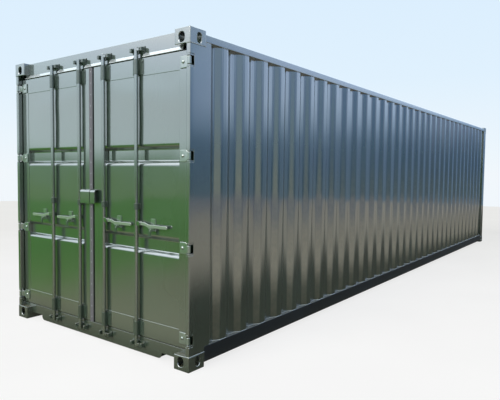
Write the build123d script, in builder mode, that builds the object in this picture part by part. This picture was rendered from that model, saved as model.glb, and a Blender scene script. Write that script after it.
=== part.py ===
"""Steel shipping container, 32 ft by 8 ft by 8 ft 6 in, with two lockable end doors.

Millimetres, +Z up. The origin is the middle of the footprint, at the underside of
the corner castings. +X is the width, to the right when the doors are looked at, and
the doors are at the -Y end. A depth is measured inwards from the door end's plane.
"""
import os

from build123d import *

# Overall size
LENGTH = 9754.0
WIDTH = 2438.0
HEIGHT = 2591.0
HALF_WIDTH = WIDTH / 2
DOOR_END = -LENGTH / 2
FAR_END = LENGTH / 2

# Corner castings
CASTING_LENGTH = 178.0
CASTING_WIDTH = 162.0
CASTING_HEIGHT = 118.0
CASTING_SIDE_WALL = 16.0
CASTING_SEAT_WALL = 28.0
CASTING_BACK_WALL = 10.0
CASTING_EDGE_RADIUS = 9.0
SLOT_LENGTH = 124.0
SLOT_WIDTH = 63.5
END_HOLE_WIDTH = 63.5
SIDE_HOLE_WIDTH = 51.0
HOLE_HEIGHT = 79.0
HOLE_CENTRE = 68.0
HOLE_SIDE_INSET = 89.0
HOLE_END_INSET = 101.5

# Door end posts
POST_SETBACK = 3.0
POST_FRONT_WIDTH = 40.0
POST_LAP = 60.0
POST_STOP_WIDTH = 26.0
POST_WALL = 6.0
POST_CORNER_RADIUS = 9.0

# Far end posts
FAR_POST_SIDE = 175.0
FAR_POST_END = 159.0
FAR_POST_LIP = 50.0

# Side rails
TOP_RAIL_SIZE = 60.0
TOP_RAIL_WALL = 3.2
RAIL_SETBACK = 5.0
TOP_RAIL_DROP = 25.0
BOTTOM_RAIL_BOTTOM = 34.0
BOTTOM_RAIL_WALL = 4.5
BOTTOM_RAIL_TOP_FLANGE = 48.0
BOTTOM_RAIL_LOWER_FLANGE = 30.0
RAIL_FLANGE_GAP = 5.0

# Side wall pressings
SHEET = 2.0
WALL_PRESS_DEPTH = 36.0
WALL_OUTER_FLAT = 72.0
WALL_SLOPE = 68.0
WALL_PRESSINGS = 33
WALL_FIRST_CENTRE = 414.5
WALL_LAST_CENTRE = 395.0

# Far wall pressings
END_WALL_SETBACK = 8.0
END_WALL_PRESSINGS = 8
END_WALL_FLAT = 110.0
END_WALL_SLOPE = 18.0
END_WALL_DEPTH = 45.0

# Roof
ROOF_SWAGES = 44
ROOF_SWAGE_WIDTH = 118.0
ROOF_SWAGE_TAPER = 45.0
ROOF_SWAGE_HEIGHT = 18.0
ROOF_MARGIN = 70.0

# Floor
CROSS_MEMBER_COUNT = 31
CROSS_MEMBER_HEIGHT = 112.0
CROSS_MEMBER_FLANGE = 45.0
CROSS_MEMBER_WALL = 4.0
FLOOR_THICKNESS = 28.0
FLOOR_GAP = 2.0

# Door opening
LEAF_DEPTH = 48.0
LEAF_THICKNESS = 50.0
LEAF_BOTTOM_GAP = 8.0
LEAF_TOP_GAP = 6.0
LEAF_WALL = 3.2
LEAF_EDGE_GAP = 11.0
LEAF_MEETING_EDGE = 10.0
HINGE_STILE = 100.0
LOCK_STILE = 135.0
LEAF_RAIL = 142.0
STOP_GAP = 6.0
STOP_THICKNESS = 46.0

# Door panels
PANEL_STEP = 3.0
TROUGH_DEPTH = 28.0
TROUGH_HEIGHT = 140.0
TROUGH_FLAT = 92.0
TROUGH_SPACING = 726.0
TROUGH_DROP = 2.5

# Door gaskets
GASKET_LIP = 6.0
GASKET_TOP_LIP = 1.0
GASKET_BOTTOM_LIP = 3.0
GASKET_LIP_THICKNESS = 22.0
CENTRE_LIP = 5.5
CENTRE_STRIP_WIDTH = 46.0
CENTRE_STRIP_THICKNESS = 3.0

# Door header and sill
HEADER_DEPTH = 56.0
HEADER_TOP_DROP = 6.0
HEADER_FALL = 150.0
HEADER_WALL = 5.0
HEADER_STOP = 26.0
LEDGE_REACH = 16.0
LEDGE_RISE = 31.0
LEDGE_SKIRT = 5.0
LEDGE_PLATE = 5.0
LEDGE_LIP = 7.0
LEDGE_END_GAP = 76.0
LEDGE_NOTCH = 110.0
SILL_DEPTH = 54.0
SILL_BOTTOM = 14.0
SILL_TOP = 150.0
SILL_WALL = 6.0
SILL_NOTCH_TOP = 62.0
SILL_STEP = 189.0
SILL_CORNER_RADIUS = 42.0

# Hinges
HINGE_COUNT = 4
HINGE_LOW = 82.0
HINGE_HIGH = 87.0
PIN_INSET = 22.0
PIN_DEPTH = 16.0
PIN_RADIUS = 9.0
PIN_CLEARANCE = 0.9
EYE_GAP = 5.0
HINGE_RECESS_DEPTH = 50.0
EAR_THICKNESS = 14.0
EAR_RADIUS = 15.0
EAR_CHAMFER = 8.0
EAR_SEAT = 14.0
BLADE_EYE_HEIGHT = 58.0
BLADE_HEIGHT = 92.0
BLADE_THICKNESS = 10.0
BLADE_ROOT = 32.0
BLADE_FLARE = 20.0
BLADE_END = 140.0

# Lock rods
ROD_OFFSETS = (175.0, 600.0)
ROD_DEPTH = 24.0
ROD_RADIUS = 17.0
ROD_WALL = 3.5
ROD_TAIL = 24.0
ROD_HEAD = 20.0
CAM_REACH = 38.0
CAM_THICKNESS = 20.0
CAM_TIP_RADIUS = 9.0

# Cam keepers
KEEPER_CAM_GAP = 11.0
KEEPER_HEIGHT = 54.0
KEEPER_PLATE = 7.0
KEEPER_PRONG = 24.0
KEEPER_PRONG_HEIGHT = 32.0
KEEPER_REACH = 46.0
KEEPER_LEDGE_GAP = 3.0
KEEPER_SILL_DROP = 60.0

# Rod brackets
BRACKET_WIDTH = 130.0
BRACKET_HEIGHT = 120.0
BRACKET_LOW_GAP = 8.0
BRACKET_HIGH_GAP = 9.0
BRACKET_PLATE = 4.0
BRACKET_STRAP = 4.0
BRACKET_CLEARANCE = 0.9
MID_BRACKET_WIDTH = 60.0
MID_BRACKET_HEIGHT = 50.0
MID_BRACKET_RISE = 112.0
MID_BRACKET_PAD = 50.0

# Handles
HANDLE_HEIGHT = 1100.0
HANDLE_END_GAP = 48.0
HANDLE_BAR_HEIGHT = 26.0
HANDLE_BAR_THICKNESS = 12.0
HANDLE_CRANK_START = 95.0
HANDLE_CRANK_END = 150.0
HANDLE_CRANK_DROP = 16.0
HANDLE_ROD_GAP = 6.0
HANDLE_PIN_RADIUS = 6.0
HUB_EAR = 6.0
HUB_GAP = 2.0
HUB_HEIGHT = 38.0
HUB_CHAMFER = 11.0

# Handle retainers and catches
RETAINER_OFFSET = 178.0
RETAINER_WIDTH = 54.0
RETAINER_PLATE = 4.0
RETAINER_RISE = 44.0
RETAINER_FALL = 58.0
SHELF_THICKNESS = 6.0
SHELF_SEAT_GAP = 0.9
SHELF_FRONT_GAP = 5.0
CATCH_PIN_RADIUS = 6.0
CATCH_PIN_DROP = 15.0
CATCH_CLEARANCE = 0.9
CATCH_THICKNESS = 5.0
CATCH_FRONT = 5.0
CATCH_WIDTH = 32.0
CATCH_LENGTH = 58.0
CATCH_CHAMFER = 9.0

# Lock box
BOX_LEFT = -140.0
BOX_RIGHT = 70.0
BOX_RISE = 134.0
BOX_HEIGHT = 124.0
BOX_PLATE = 5.0
BOX_BEND = 24.0
BOX_FRONT = 3.0
BOX_SPLIT = 4.0
STAPLE_INSET = 16.0
STAPLE_PLATE = 8.0
STAPLE_SETBACK = 10.0
STAPLE_RISE = 10.0
STAPLE_HOLE_RISE = 30.0
STAPLE_HOLE_RADIUS = 7.0

# Places worked out from the sizes above
POST_FACE = HALF_WIDTH - POST_SETBACK
POST_INNER = POST_FACE - POST_FRONT_WIDTH
STOP_INNER = POST_INNER - POST_STOP_WIDTH
RAIL_FACE = HALF_WIDTH - RAIL_SETBACK
WALL_FACE = POST_FACE - POST_WALL
RAIL_TOP = HEIGHT - TOP_RAIL_DROP
RAIL_BOTTOM = RAIL_TOP - TOP_RAIL_SIZE
CROSS_MEMBER_BOTTOM = BOTTOM_RAIL_BOTTOM + BOTTOM_RAIL_WALL
FLOOR_BOTTOM = CROSS_MEMBER_BOTTOM + CROSS_MEMBER_HEIGHT
FLOOR_TOP = FLOOR_BOTTOM + FLOOR_THICKNESS
BOTTOM_RAIL_TOP = FLOOR_BOTTOM + RAIL_FLANGE_GAP + BOTTOM_RAIL_WALL
HEADER_BOTTOM = HEIGHT - HEADER_FALL
LEDGE_TOP = HEADER_BOTTOM + LEDGE_RISE
LEAF_BOTTOM = SILL_TOP + LEAF_BOTTOM_GAP
LEAF_TOP = HEADER_BOTTOM - LEAF_TOP_GAP
STOP_DEPTH = LEAF_DEPTH + LEAF_THICKNESS + STOP_GAP
FRAME_BACK = STOP_DEPTH + STOP_THICKNESS
SILL_DROP_HALF = HALF_WIDTH - CASTING_WIDTH - SILL_STEP
TROUGH_MIDDLE = (LEAF_BOTTOM + LEAF_TOP) / 2 - TROUGH_DROP
TROUGH_CENTRES = (TROUGH_MIDDLE - TROUGH_SPACING / 2, TROUGH_MIDDLE + TROUGH_SPACING / 2)
LEAF_OUTER = POST_INNER - LEAF_EDGE_GAP
PIN_X = HALF_WIDTH - PIN_INSET
HINGE_RECESS_HEIGHT = BLADE_EYE_HEIGHT + 2 * (EYE_GAP + EAR_THICKNESS)
HINGE_SPACING = (LEAF_TOP - HINGE_HIGH - LEAF_BOTTOM - HINGE_LOW) / (HINGE_COUNT - 1)
HINGE_HEIGHTS = [LEAF_BOTTOM + HINGE_LOW + row * HINGE_SPACING for row in range(HINGE_COUNT)]
KEEPER_WIDTH = 2 * (CAM_REACH + KEEPER_CAM_GAP + KEEPER_PRONG)
TOP_KEEPER_HEIGHT = LEDGE_TOP + KEEPER_LEDGE_GAP + KEEPER_HEIGHT / 2
BOTTOM_KEEPER_HEIGHT = SILL_TOP - KEEPER_SILL_DROP
ROD_BOTTOM = BOTTOM_KEEPER_HEIGHT - ROD_TAIL
ROD_TOP = TOP_KEEPER_HEIGHT + ROD_HEAD
HANDLE_PIVOT = ROD_RADIUS + HANDLE_ROD_GAP + HANDLE_BAR_HEIGHT / 2
HANDLE_LENGTH = ROD_OFFSETS[1] - ROD_OFFSETS[0] - ROD_RADIUS - HANDLE_END_GAP
BOX_BOTTOM = HANDLE_HEIGHT + BOX_RISE
BOX_TOP = BOX_BOTTOM + BOX_HEIGHT
LEAF_FRONT_Y = DOOR_END + LEAF_DEPTH
LEAF_BACK_Y = LEAF_FRONT_Y + LEAF_THICKNESS
PIN_Y = DOOR_END + PIN_DEPTH
ROD_Y = DOOR_END + ROD_DEPTH
LAP_END = DOOR_END + CASTING_LENGTH + POST_LAP
SIDES = {"left": -1, "right": 1}


def save(builder, name):
    """Label a finished piece and write it as a STEP file."""
    builder.part.label = name
    export_step(builder.part, f"parts/{name}.step")


def block(x, y, z, mode=Mode.ADD):
    """Square-edged bar between two limits on each axis."""
    with Locations(((x[0] + x[1]) / 2, (y[0] + y[1]) / 2, (z[0] + z[1]) / 2)):
        Box(abs(x[1] - x[0]), abs(y[1] - y[0]), abs(z[1] - z[0]), mode=mode)


def sheet_outline(line, shift):
    """Closed outline of a folded sheet: its face line, then the same line shifted."""
    back = [(a + shift[0], b + shift[1]) for a, b in reversed(line)]
    return line + back


def castings(z_low, seat, name):
    """Four hollow castings: a slot in each seat and a hole in each of two outer sides."""
    corners = [(side, end) for side in SIDES.values() for end in (-1, 1)]
    z_mid = z_low + CASTING_HEIGHT / 2
    seat_z = z_mid + seat * CASTING_HEIGHT / 2
    hole_z = seat_z - seat * HOLE_CENTRE
    core_z = z_mid + seat * (CASTING_BACK_WALL - CASTING_SEAT_WALL) / 2
    with BuildPart() as fittings:
        for side, end in corners:
            x_mid = side * (HALF_WIDTH - CASTING_WIDTH / 2)
            y_mid = end * (LENGTH / 2 - CASTING_LENGTH / 2)
            x_hole = side * (HALF_WIDTH - HOLE_SIDE_INSET)
            y_hole = end * (LENGTH / 2 - HOLE_END_INSET)
            with BuildSketch(Plane.XY.offset(z_low)):
                with Locations((x_mid, y_mid)):
                    RectangleRounded(CASTING_WIDTH, CASTING_LENGTH, CASTING_EDGE_RADIUS)
            extrude(amount=CASTING_HEIGHT)
            with Locations((x_mid, y_mid, core_z)):
                Box(
                    CASTING_WIDTH - 2 * CASTING_SIDE_WALL,
                    CASTING_LENGTH - 2 * CASTING_SIDE_WALL,
                    CASTING_HEIGHT - CASTING_SEAT_WALL - CASTING_BACK_WALL,
                    mode=Mode.SUBTRACT,
                )
            with BuildSketch(Plane.XY.offset(seat_z)):
                with Locations((x_hole, y_hole)):
                    SlotOverall(SLOT_LENGTH, SLOT_WIDTH, rotation=90)
            extrude(amount=-seat * CASTING_SEAT_WALL, mode=Mode.SUBTRACT)
            with BuildSketch(Plane.XZ.offset(-end * LENGTH / 2)):
                with Locations((x_hole, hole_z)):
                    SlotOverall(HOLE_HEIGHT, END_HOLE_WIDTH, rotation=90)
            extrude(amount=end * CASTING_SIDE_WALL, mode=Mode.SUBTRACT)
            with BuildSketch(Plane.YZ.offset(side * HALF_WIDTH)):
                with Locations((y_hole, hole_z)):
                    SlotOverall(HOLE_HEIGHT, SIDE_HOLE_WIDTH, rotation=90)
            extrude(amount=-side * CASTING_SIDE_WALL, mode=Mode.SUBTRACT)
    save(fittings, name)


def door_post(side, name):
    """Pressed hollow post with a door stop, a side flange and four hinge recesses."""
    outline = [
        (side * POST_INNER, DOOR_END + POST_SETBACK),
        (side * POST_FACE, DOOR_END + POST_SETBACK),
        (side * POST_FACE, DOOR_END + FRAME_BACK),
        (side * STOP_INNER, DOOR_END + FRAME_BACK),
        (side * STOP_INNER, DOOR_END + STOP_DEPTH),
        (side * POST_INNER, DOOR_END + STOP_DEPTH),
    ]
    post_bottom = CASTING_HEIGHT
    post_top = HEIGHT - CASTING_HEIGHT
    flange_x = (side * (POST_FACE - POST_WALL), side * POST_FACE)
    lap_y = (DOOR_END + CASTING_LENGTH, LAP_END)
    recess_x = (side * (POST_INNER - POST_WALL), side * HALF_WIDTH)
    with BuildPart() as post:
        with BuildSketch(Plane.XY.offset(post_bottom)) as section:
            with BuildLine():
                Polyline(*outline, close=True)
            make_face()
            front = section.vertices().group_by(Axis.Y)[0]
            fillet(front, POST_CORNER_RADIUS)
            offset(amount=-POST_WALL, mode=Mode.SUBTRACT)
        extrude(amount=post_top - post_bottom)
        block(flange_x, (DOOR_END + FRAME_BACK, lap_y[0]), (post_bottom, post_top))
        block(flange_x, lap_y, (BOTTOM_RAIL_TOP, RAIL_BOTTOM))
        for height in HINGE_HEIGHTS:
            reach = HINGE_RECESS_HEIGHT / 2
            recess_y = (DOOR_END, DOOR_END + HINGE_RECESS_DEPTH)
            block(recess_x, recess_y, (height - reach, height + reach), Mode.SUBTRACT)
    save(post, name)


def far_posts():
    """Pressed hollow posts of the closed end, each with a chamfered inner corner."""
    back = FAR_END - POST_SETBACK
    side_edge = back - FAR_POST_SIDE
    end_edge = POST_FACE - FAR_POST_END
    lip_edge = POST_FACE - FAR_POST_LIP
    with BuildPart() as posts:
        for side in SIDES.values():
            outline = [
                (side * POST_FACE, back),
                (side * POST_FACE, side_edge),
                (side * lip_edge, side_edge),
                (side * lip_edge, side_edge + FAR_POST_LIP),
                (side * end_edge, back - FAR_POST_LIP),
                (side * end_edge, back),
            ]
            with BuildSketch(Plane.XY.offset(CASTING_HEIGHT)) as section:
                with BuildLine():
                    Polyline(*outline, close=True)
                make_face()
                back_corners = section.vertices().group_by(Axis.Y)[-1].sort_by(Axis.X)
                fillet(back_corners[-1 if side > 0 else 0], POST_CORNER_RADIUS)
                offset(amount=-POST_WALL, mode=Mode.SUBTRACT)
            extrude(amount=HEIGHT - 2 * CASTING_HEIGHT)
    save(posts, "far_posts")


def top_rails():
    """Square tubes along the roof edges, between the castings."""
    z_mid = RAIL_TOP - TOP_RAIL_SIZE / 2
    run = LENGTH - 2 * CASTING_LENGTH
    inner = TOP_RAIL_SIZE - 2 * TOP_RAIL_WALL
    centres = [(side * (RAIL_FACE - TOP_RAIL_SIZE / 2), z_mid) for side in SIDES.values()]
    with BuildPart() as rails:
        with BuildSketch(Plane.XZ.offset(run / 2)):
            with Locations(*centres):
                RectangleRounded(TOP_RAIL_SIZE, TOP_RAIL_SIZE, 2 * TOP_RAIL_WALL)
                RectangleRounded(inner, inner, TOP_RAIL_WALL, mode=Mode.SUBTRACT)
        extrude(amount=-run)
    save(rails, "top_rails")


def bottom_rails():
    """Channels along the floor edges, their webs outside and their flanges inwards."""
    low = BOTTOM_RAIL_BOTTOM
    high = BOTTOM_RAIL_TOP
    run = LENGTH - 2 * CASTING_LENGTH
    with BuildPart() as rails:
        for side in SIDES.values():
            face = side * RAIL_FACE
            inside = face - side * BOTTOM_RAIL_WALL
            upper = face - side * BOTTOM_RAIL_TOP_FLANGE
            lower = face - side * BOTTOM_RAIL_LOWER_FLANGE
            outline = [
                (lower, low),
                (face, low),
                (face, high),
                (upper, high),
                (upper, high - BOTTOM_RAIL_WALL),
                (inside, high - BOTTOM_RAIL_WALL),
                (inside, low + BOTTOM_RAIL_WALL),
                (lower, low + BOTTOM_RAIL_WALL),
            ]
            with BuildSketch(Plane.XZ.offset(run / 2)):
                with BuildLine():
                    Polyline(*outline, close=True)
                make_face()
            extrude(amount=-run)
    save(rails, "bottom_rails")


def side_wall(side, name):
    """Corrugated sheet welded between the posts and the rails."""
    first = DOOR_END + WALL_FIRST_CENTRE
    last = FAR_END - WALL_LAST_CENTRE
    pitch = (last - first) / (WALL_PRESSINGS - 1)
    outer = side * WALL_FACE
    inner = side * (WALL_FACE - WALL_PRESS_DEPTH)
    half_flat = WALL_OUTER_FLAT / 2
    line = [(outer, DOOR_END + CASTING_LENGTH), (outer, LAP_END)]
    line.append((inner, (LAP_END + first - half_flat) / 2))
    line.append((outer, first - half_flat))
    for index in range(1, WALL_PRESSINGS):
        centre = first + index * pitch
        line.append((outer, centre - pitch + half_flat))
        line.append((inner, centre - pitch + half_flat + WALL_SLOPE))
        line.append((inner, centre - half_flat - WALL_SLOPE))
        line.append((outer, centre - half_flat))
    line.append((outer, last + half_flat))
    line.append((inner, last + half_flat + WALL_SLOPE))
    line.append((inner, FAR_END - POST_SETBACK - FAR_POST_SIDE))
    with BuildPart() as wall:
        with BuildSketch(Plane.XY.offset(BOTTOM_RAIL_TOP)):
            with BuildLine():
                Polyline(*sheet_outline(line, (-side * SHEET, 0.0)), close=True)
            make_face()
        extrude(amount=RAIL_BOTTOM - BOTTOM_RAIL_TOP)
    save(wall, name)


def far_wall():
    """Corrugated sheet that closes the far end."""
    outer = FAR_END - END_WALL_SETBACK
    inner = outer - END_WALL_DEPTH
    edge = POST_FACE - FAR_POST_END
    pitch = 2 * edge / END_WALL_PRESSINGS
    half_flat = END_WALL_FLAT / 2
    line = [(-edge, inner)]
    for index in range(END_WALL_PRESSINGS):
        centre = -edge + (index + 0.5) * pitch
        line.append((centre - half_flat - END_WALL_SLOPE, inner))
        line.append((centre - half_flat, outer))
        line.append((centre + half_flat, outer))
        line.append((centre + half_flat + END_WALL_SLOPE, inner))
    line.append((edge, inner))
    with BuildPart() as wall:
        with BuildSketch(Plane.XY.offset(BOTTOM_RAIL_TOP)):
            with BuildLine():
                Polyline(*sheet_outline(line, (0.0, -SHEET)), close=True)
            make_face()
        extrude(amount=RAIL_BOTTOM - BOTTOM_RAIL_TOP)
    save(wall, "far_wall")


def far_rails():
    """Top tube and bottom channel of the closed end."""
    run = WIDTH - 2 * CASTING_WIDTH
    y_mid = FAR_END - RAIL_SETBACK - TOP_RAIL_SIZE / 2
    inner = TOP_RAIL_SIZE - 2 * TOP_RAIL_WALL
    z_mid = RAIL_TOP - TOP_RAIL_SIZE / 2
    with BuildPart() as header:
        with BuildSketch(Plane.YZ.offset(-run / 2)):
            with Locations((y_mid, z_mid)):
                RectangleRounded(TOP_RAIL_SIZE, TOP_RAIL_SIZE, 2 * TOP_RAIL_WALL)
                RectangleRounded(inner, inner, TOP_RAIL_WALL, mode=Mode.SUBTRACT)
        extrude(amount=run)
        plate_y = (FAR_END - CASTING_LENGTH, y_mid)
        block((-run / 2, run / 2), plate_y, (RAIL_TOP - TOP_RAIL_WALL, RAIL_TOP))
    save(header, "far_header")

    face = FAR_END - RAIL_SETBACK
    upper = face - TOP_RAIL_SIZE
    low = BOTTOM_RAIL_BOTTOM
    high = BOTTOM_RAIL_TOP
    outline = [
        (upper, low),
        (face, low),
        (face, high),
        (upper, high),
        (upper, high - BOTTOM_RAIL_WALL),
        (face - BOTTOM_RAIL_WALL, high - BOTTOM_RAIL_WALL),
        (face - BOTTOM_RAIL_WALL, low + BOTTOM_RAIL_WALL),
        (upper, low + BOTTOM_RAIL_WALL),
    ]
    with BuildPart() as sill:
        with BuildSketch(Plane.YZ.offset(-run / 2)):
            with BuildLine():
                Polyline(*outline, close=True)
            make_face()
        extrude(amount=run)
    save(sill, "far_sill")


def roof():
    """Roof sheet with one row of raised swages pressed across it."""
    half = RAIL_FACE - TOP_RAIL_SIZE / 2
    front = DOOR_END + CASTING_LENGTH
    back = FAR_END - CASTING_LENGTH
    swage_span = (back - front) / ROOF_SWAGES
    swage_length = 2 * (half - ROOF_MARGIN)
    places = [(0, front + (index + 0.5) * swage_span) for index in range(ROOF_SWAGES)]
    with BuildPart() as sheet:
        with BuildSketch(Plane.XY.offset(RAIL_TOP)):
            with Locations((0, (front + back) / 2)):
                Rectangle(2 * half, back - front)
        extrude(amount=SHEET)
        with BuildSketch(Plane.XY.offset(RAIL_TOP + SHEET)):
            with Locations(*places):
                Rectangle(swage_length, ROOF_SWAGE_WIDTH)
        extrude(amount=ROOF_SWAGE_HEIGHT - SHEET, taper=ROOF_SWAGE_TAPER)
        with BuildSketch(Plane.XY.offset(RAIL_TOP)):
            with Locations(*places):
                Rectangle(swage_length - SHEET, ROOF_SWAGE_WIDTH - SHEET)
        extrude(amount=ROOF_SWAGE_HEIGHT - SHEET, taper=ROOF_SWAGE_TAPER, mode=Mode.SUBTRACT)
    save(sheet, "roof")


def cross_members():
    """Row of channels across the base that carry the floor."""
    half = RAIL_FACE - BOTTOM_RAIL_WALL
    first = DOOR_END + CASTING_LENGTH + CROSS_MEMBER_FLANGE
    last = FAR_END - CASTING_LENGTH - CROSS_MEMBER_FLANGE
    pitch = (last - first) / (CROSS_MEMBER_COUNT - 1)
    wall = CROSS_MEMBER_WALL
    low = CROSS_MEMBER_BOTTOM
    high = FLOOR_BOTTOM
    with BuildPart() as members:
        for index in range(CROSS_MEMBER_COUNT):
            web = first + index * pitch
            edge = web + CROSS_MEMBER_FLANGE
            outline = [
                (web, low),
                (edge, low),
                (edge, low + wall),
                (web + wall, low + wall),
                (web + wall, high - wall),
                (edge, high - wall),
                (edge, high),
                (web, high),
            ]
            with BuildSketch(Plane.YZ.offset(-half)):
                with BuildLine():
                    Polyline(*outline, close=True)
                make_face()
            extrude(amount=2 * half)
    save(members, "cross_members")


def floor():
    """Plywood floor on the cross members."""
    half = RAIL_FACE - BOTTOM_RAIL_TOP_FLANGE - FLOOR_GAP
    front = DOOR_END + FRAME_BACK
    back = FAR_END - POST_SETBACK - FAR_POST_SIDE - FLOOR_GAP
    tongue_half = POST_FACE - FAR_POST_END - FLOOR_GAP
    tongue_back = FAR_END - RAIL_SETBACK - TOP_RAIL_SIZE - FLOOR_GAP
    with BuildPart() as boards:
        block((-half, half), (front, back), (FLOOR_BOTTOM, FLOOR_TOP))
        block((-tongue_half, tongue_half), (front, tongue_back), (FLOOR_BOTTOM, FLOOR_TOP))
    save(boards, "floor")


def door_header():
    """Hollow beam over the doors, with plates that reach the posts under the castings."""
    top = HEIGHT - HEADER_TOP_DROP
    casting_inner = HALF_WIDTH - CASTING_WIDTH
    casting_bottom = HEIGHT - CASTING_HEIGHT
    front = DOOR_END + HEADER_DEPTH
    stop = DOOR_END + STOP_DEPTH
    back = DOOR_END + FRAME_BACK
    outline = [
        (front, HEADER_BOTTOM),
        (front, top),
        (back, top),
        (back, HEADER_BOTTOM - HEADER_STOP),
        (stop, HEADER_BOTTOM - HEADER_STOP),
        (stop, HEADER_BOTTOM),
    ]
    ledge_half = POST_INNER - LEDGE_END_GAP
    with BuildPart() as header:
        with BuildSketch(Plane.YZ.offset(-casting_inner)):
            with BuildLine():
                Polyline(*outline, close=True)
            make_face()
            offset(amount=-HEADER_WALL, mode=Mode.SUBTRACT)
        extrude(amount=2 * casting_inner)
        plate_y = (back, DOOR_END + CASTING_LENGTH)
        block((-casting_inner, casting_inner), plate_y, (RAIL_TOP - HEADER_WALL, RAIL_TOP))
        for side in SIDES.values():
            end_x = (side * casting_inner, side * ledge_half)
            block(end_x, (front, front + HEADER_WALL), (HEADER_BOTTOM, casting_bottom))
            block(end_x, (front, stop), (HEADER_BOTTOM, HEADER_BOTTOM + HEADER_WALL))
            stop_x = (side * casting_inner, side * STOP_INNER)
            block(stop_x, (stop, stop + HEADER_WALL), (HEADER_BOTTOM - HEADER_STOP, casting_bottom))
    save(header, "door_header")


def drip_ledge():
    """Folded sloping strip along the header's foot, interrupted at each lock rod."""
    front = DOOR_END + HEADER_DEPTH
    lip = front - LEDGE_REACH
    half = POST_INNER - LEDGE_END_GAP
    shoulder = HEADER_BOTTOM + LEDGE_SKIRT
    outline = [
        (front, LEDGE_TOP),
        (lip, shoulder),
        (lip, HEADER_BOTTOM),
        (lip + LEDGE_PLATE, HEADER_BOTTOM),
        (lip + LEDGE_PLATE, shoulder - LEDGE_PLATE / 2),
        (front, LEDGE_TOP - LEDGE_LIP),
    ]
    with BuildPart() as ledge:
        with BuildSketch(Plane.YZ.offset(-half)):
            with BuildLine():
                Polyline(*outline, close=True)
            make_face()
        extrude(amount=2 * half)
        for side in SIDES.values():
            for rod in ROD_OFFSETS:
                notch_x = (side * rod - LEDGE_NOTCH / 2, side * rod + LEDGE_NOTCH / 2)
                block(notch_x, (lip, front), (HEADER_BOTTOM, LEDGE_TOP), Mode.SUBTRACT)
    save(ledge, "drip_ledge")


def door_sill():
    """Folded sill plate under the doors, stepped up beside the castings."""
    front = DOOR_END + SILL_DEPTH
    back = DOOR_END + FRAME_BACK
    stop = DOOR_END + STOP_DEPTH
    casting_inner = HALF_WIDTH - CASTING_WIDTH
    outline = [
        (-casting_inner, SILL_NOTCH_TOP),
        (-SILL_DROP_HALF, SILL_NOTCH_TOP),
        (-SILL_DROP_HALF, SILL_BOTTOM),
        (SILL_DROP_HALF, SILL_BOTTOM),
        (SILL_DROP_HALF, SILL_NOTCH_TOP),
        (casting_inner, SILL_NOTCH_TOP),
        (casting_inner, CASTING_HEIGHT),
        (POST_INNER, CASTING_HEIGHT),
        (POST_INNER, SILL_TOP),
        (-POST_INNER, SILL_TOP),
        (-POST_INNER, CASTING_HEIGHT),
        (-casting_inner, CASTING_HEIGHT),
    ]
    with BuildPart() as sill:
        with BuildSketch(Plane.XZ.offset(-front)) as web:
            with BuildLine():
                Polyline(*outline, close=True)
            make_face()
            fillet(web.vertices().group_by(Axis.Y)[0], SILL_CORNER_RADIUS)
        extrude(amount=-SILL_WALL)
        tread = [
            (front, SILL_TOP),
            (stop, SILL_TOP),
            (stop, FLOOR_TOP),
            (back, FLOOR_TOP),
            (back, FLOOR_TOP - SILL_WALL),
            (stop + SILL_WALL, FLOOR_TOP - SILL_WALL),
            (stop + SILL_WALL, SILL_TOP - SILL_WALL),
            (front, SILL_TOP - SILL_WALL),
        ]
        with BuildSketch(Plane.YZ.offset(-STOP_INNER)):
            with BuildLine():
                Polyline(*tread, close=True)
            make_face()
        extrude(amount=2 * STOP_INNER)
        foot_half = SILL_DROP_HALF - SILL_CORNER_RADIUS
        block((-foot_half, foot_half), (front, back), (SILL_BOTTOM, SILL_BOTTOM + SILL_WALL))
        for side in SIDES.values():
            step_x = (side * (SILL_DROP_HALF - SILL_WALL), side * casting_inner)
            block(step_x, (front, back), (SILL_NOTCH_TOP, SILL_NOTCH_TOP + SILL_WALL))
    save(sill, "door_sill")


def cam_keepers():
    """Keepers for the rod cams: each is a welded plate with two rounded prongs."""
    half = KEEPER_WIDTH / 2
    middles = [side * rod for side in SIDES.values() for rod in ROD_OFFSETS]
    rows = (
        (DOOR_END + HEADER_DEPTH, TOP_KEEPER_HEIGHT),
        (DOOR_END + SILL_DEPTH, BOTTOM_KEEPER_HEIGHT),
    )
    prongs = [x + way * (half - KEEPER_PRONG / 2) for x in middles for way in (-1, 1)]
    with BuildPart() as keepers:
        for face_y, height in rows:
            low = height - KEEPER_HEIGHT / 2
            nose = face_y - KEEPER_REACH + KEEPER_PRONG / 2
            for middle in middles:
                plate_x = (middle - half, middle + half)
                block(plate_x, (face_y - KEEPER_PLATE, face_y), (low, low + KEEPER_HEIGHT))
            with BuildSketch(Plane.XY.offset(height - KEEPER_PRONG_HEIGHT / 2)):
                with Locations(*[(x, nose) for x in prongs]):
                    Circle(KEEPER_PRONG / 2)
                with Locations(*[(x, (nose + face_y) / 2) for x in prongs]):
                    Rectangle(KEEPER_PRONG, face_y - nose)
            extrude(amount=KEEPER_PRONG_HEIGHT)
    save(keepers, "cam_keepers")


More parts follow.
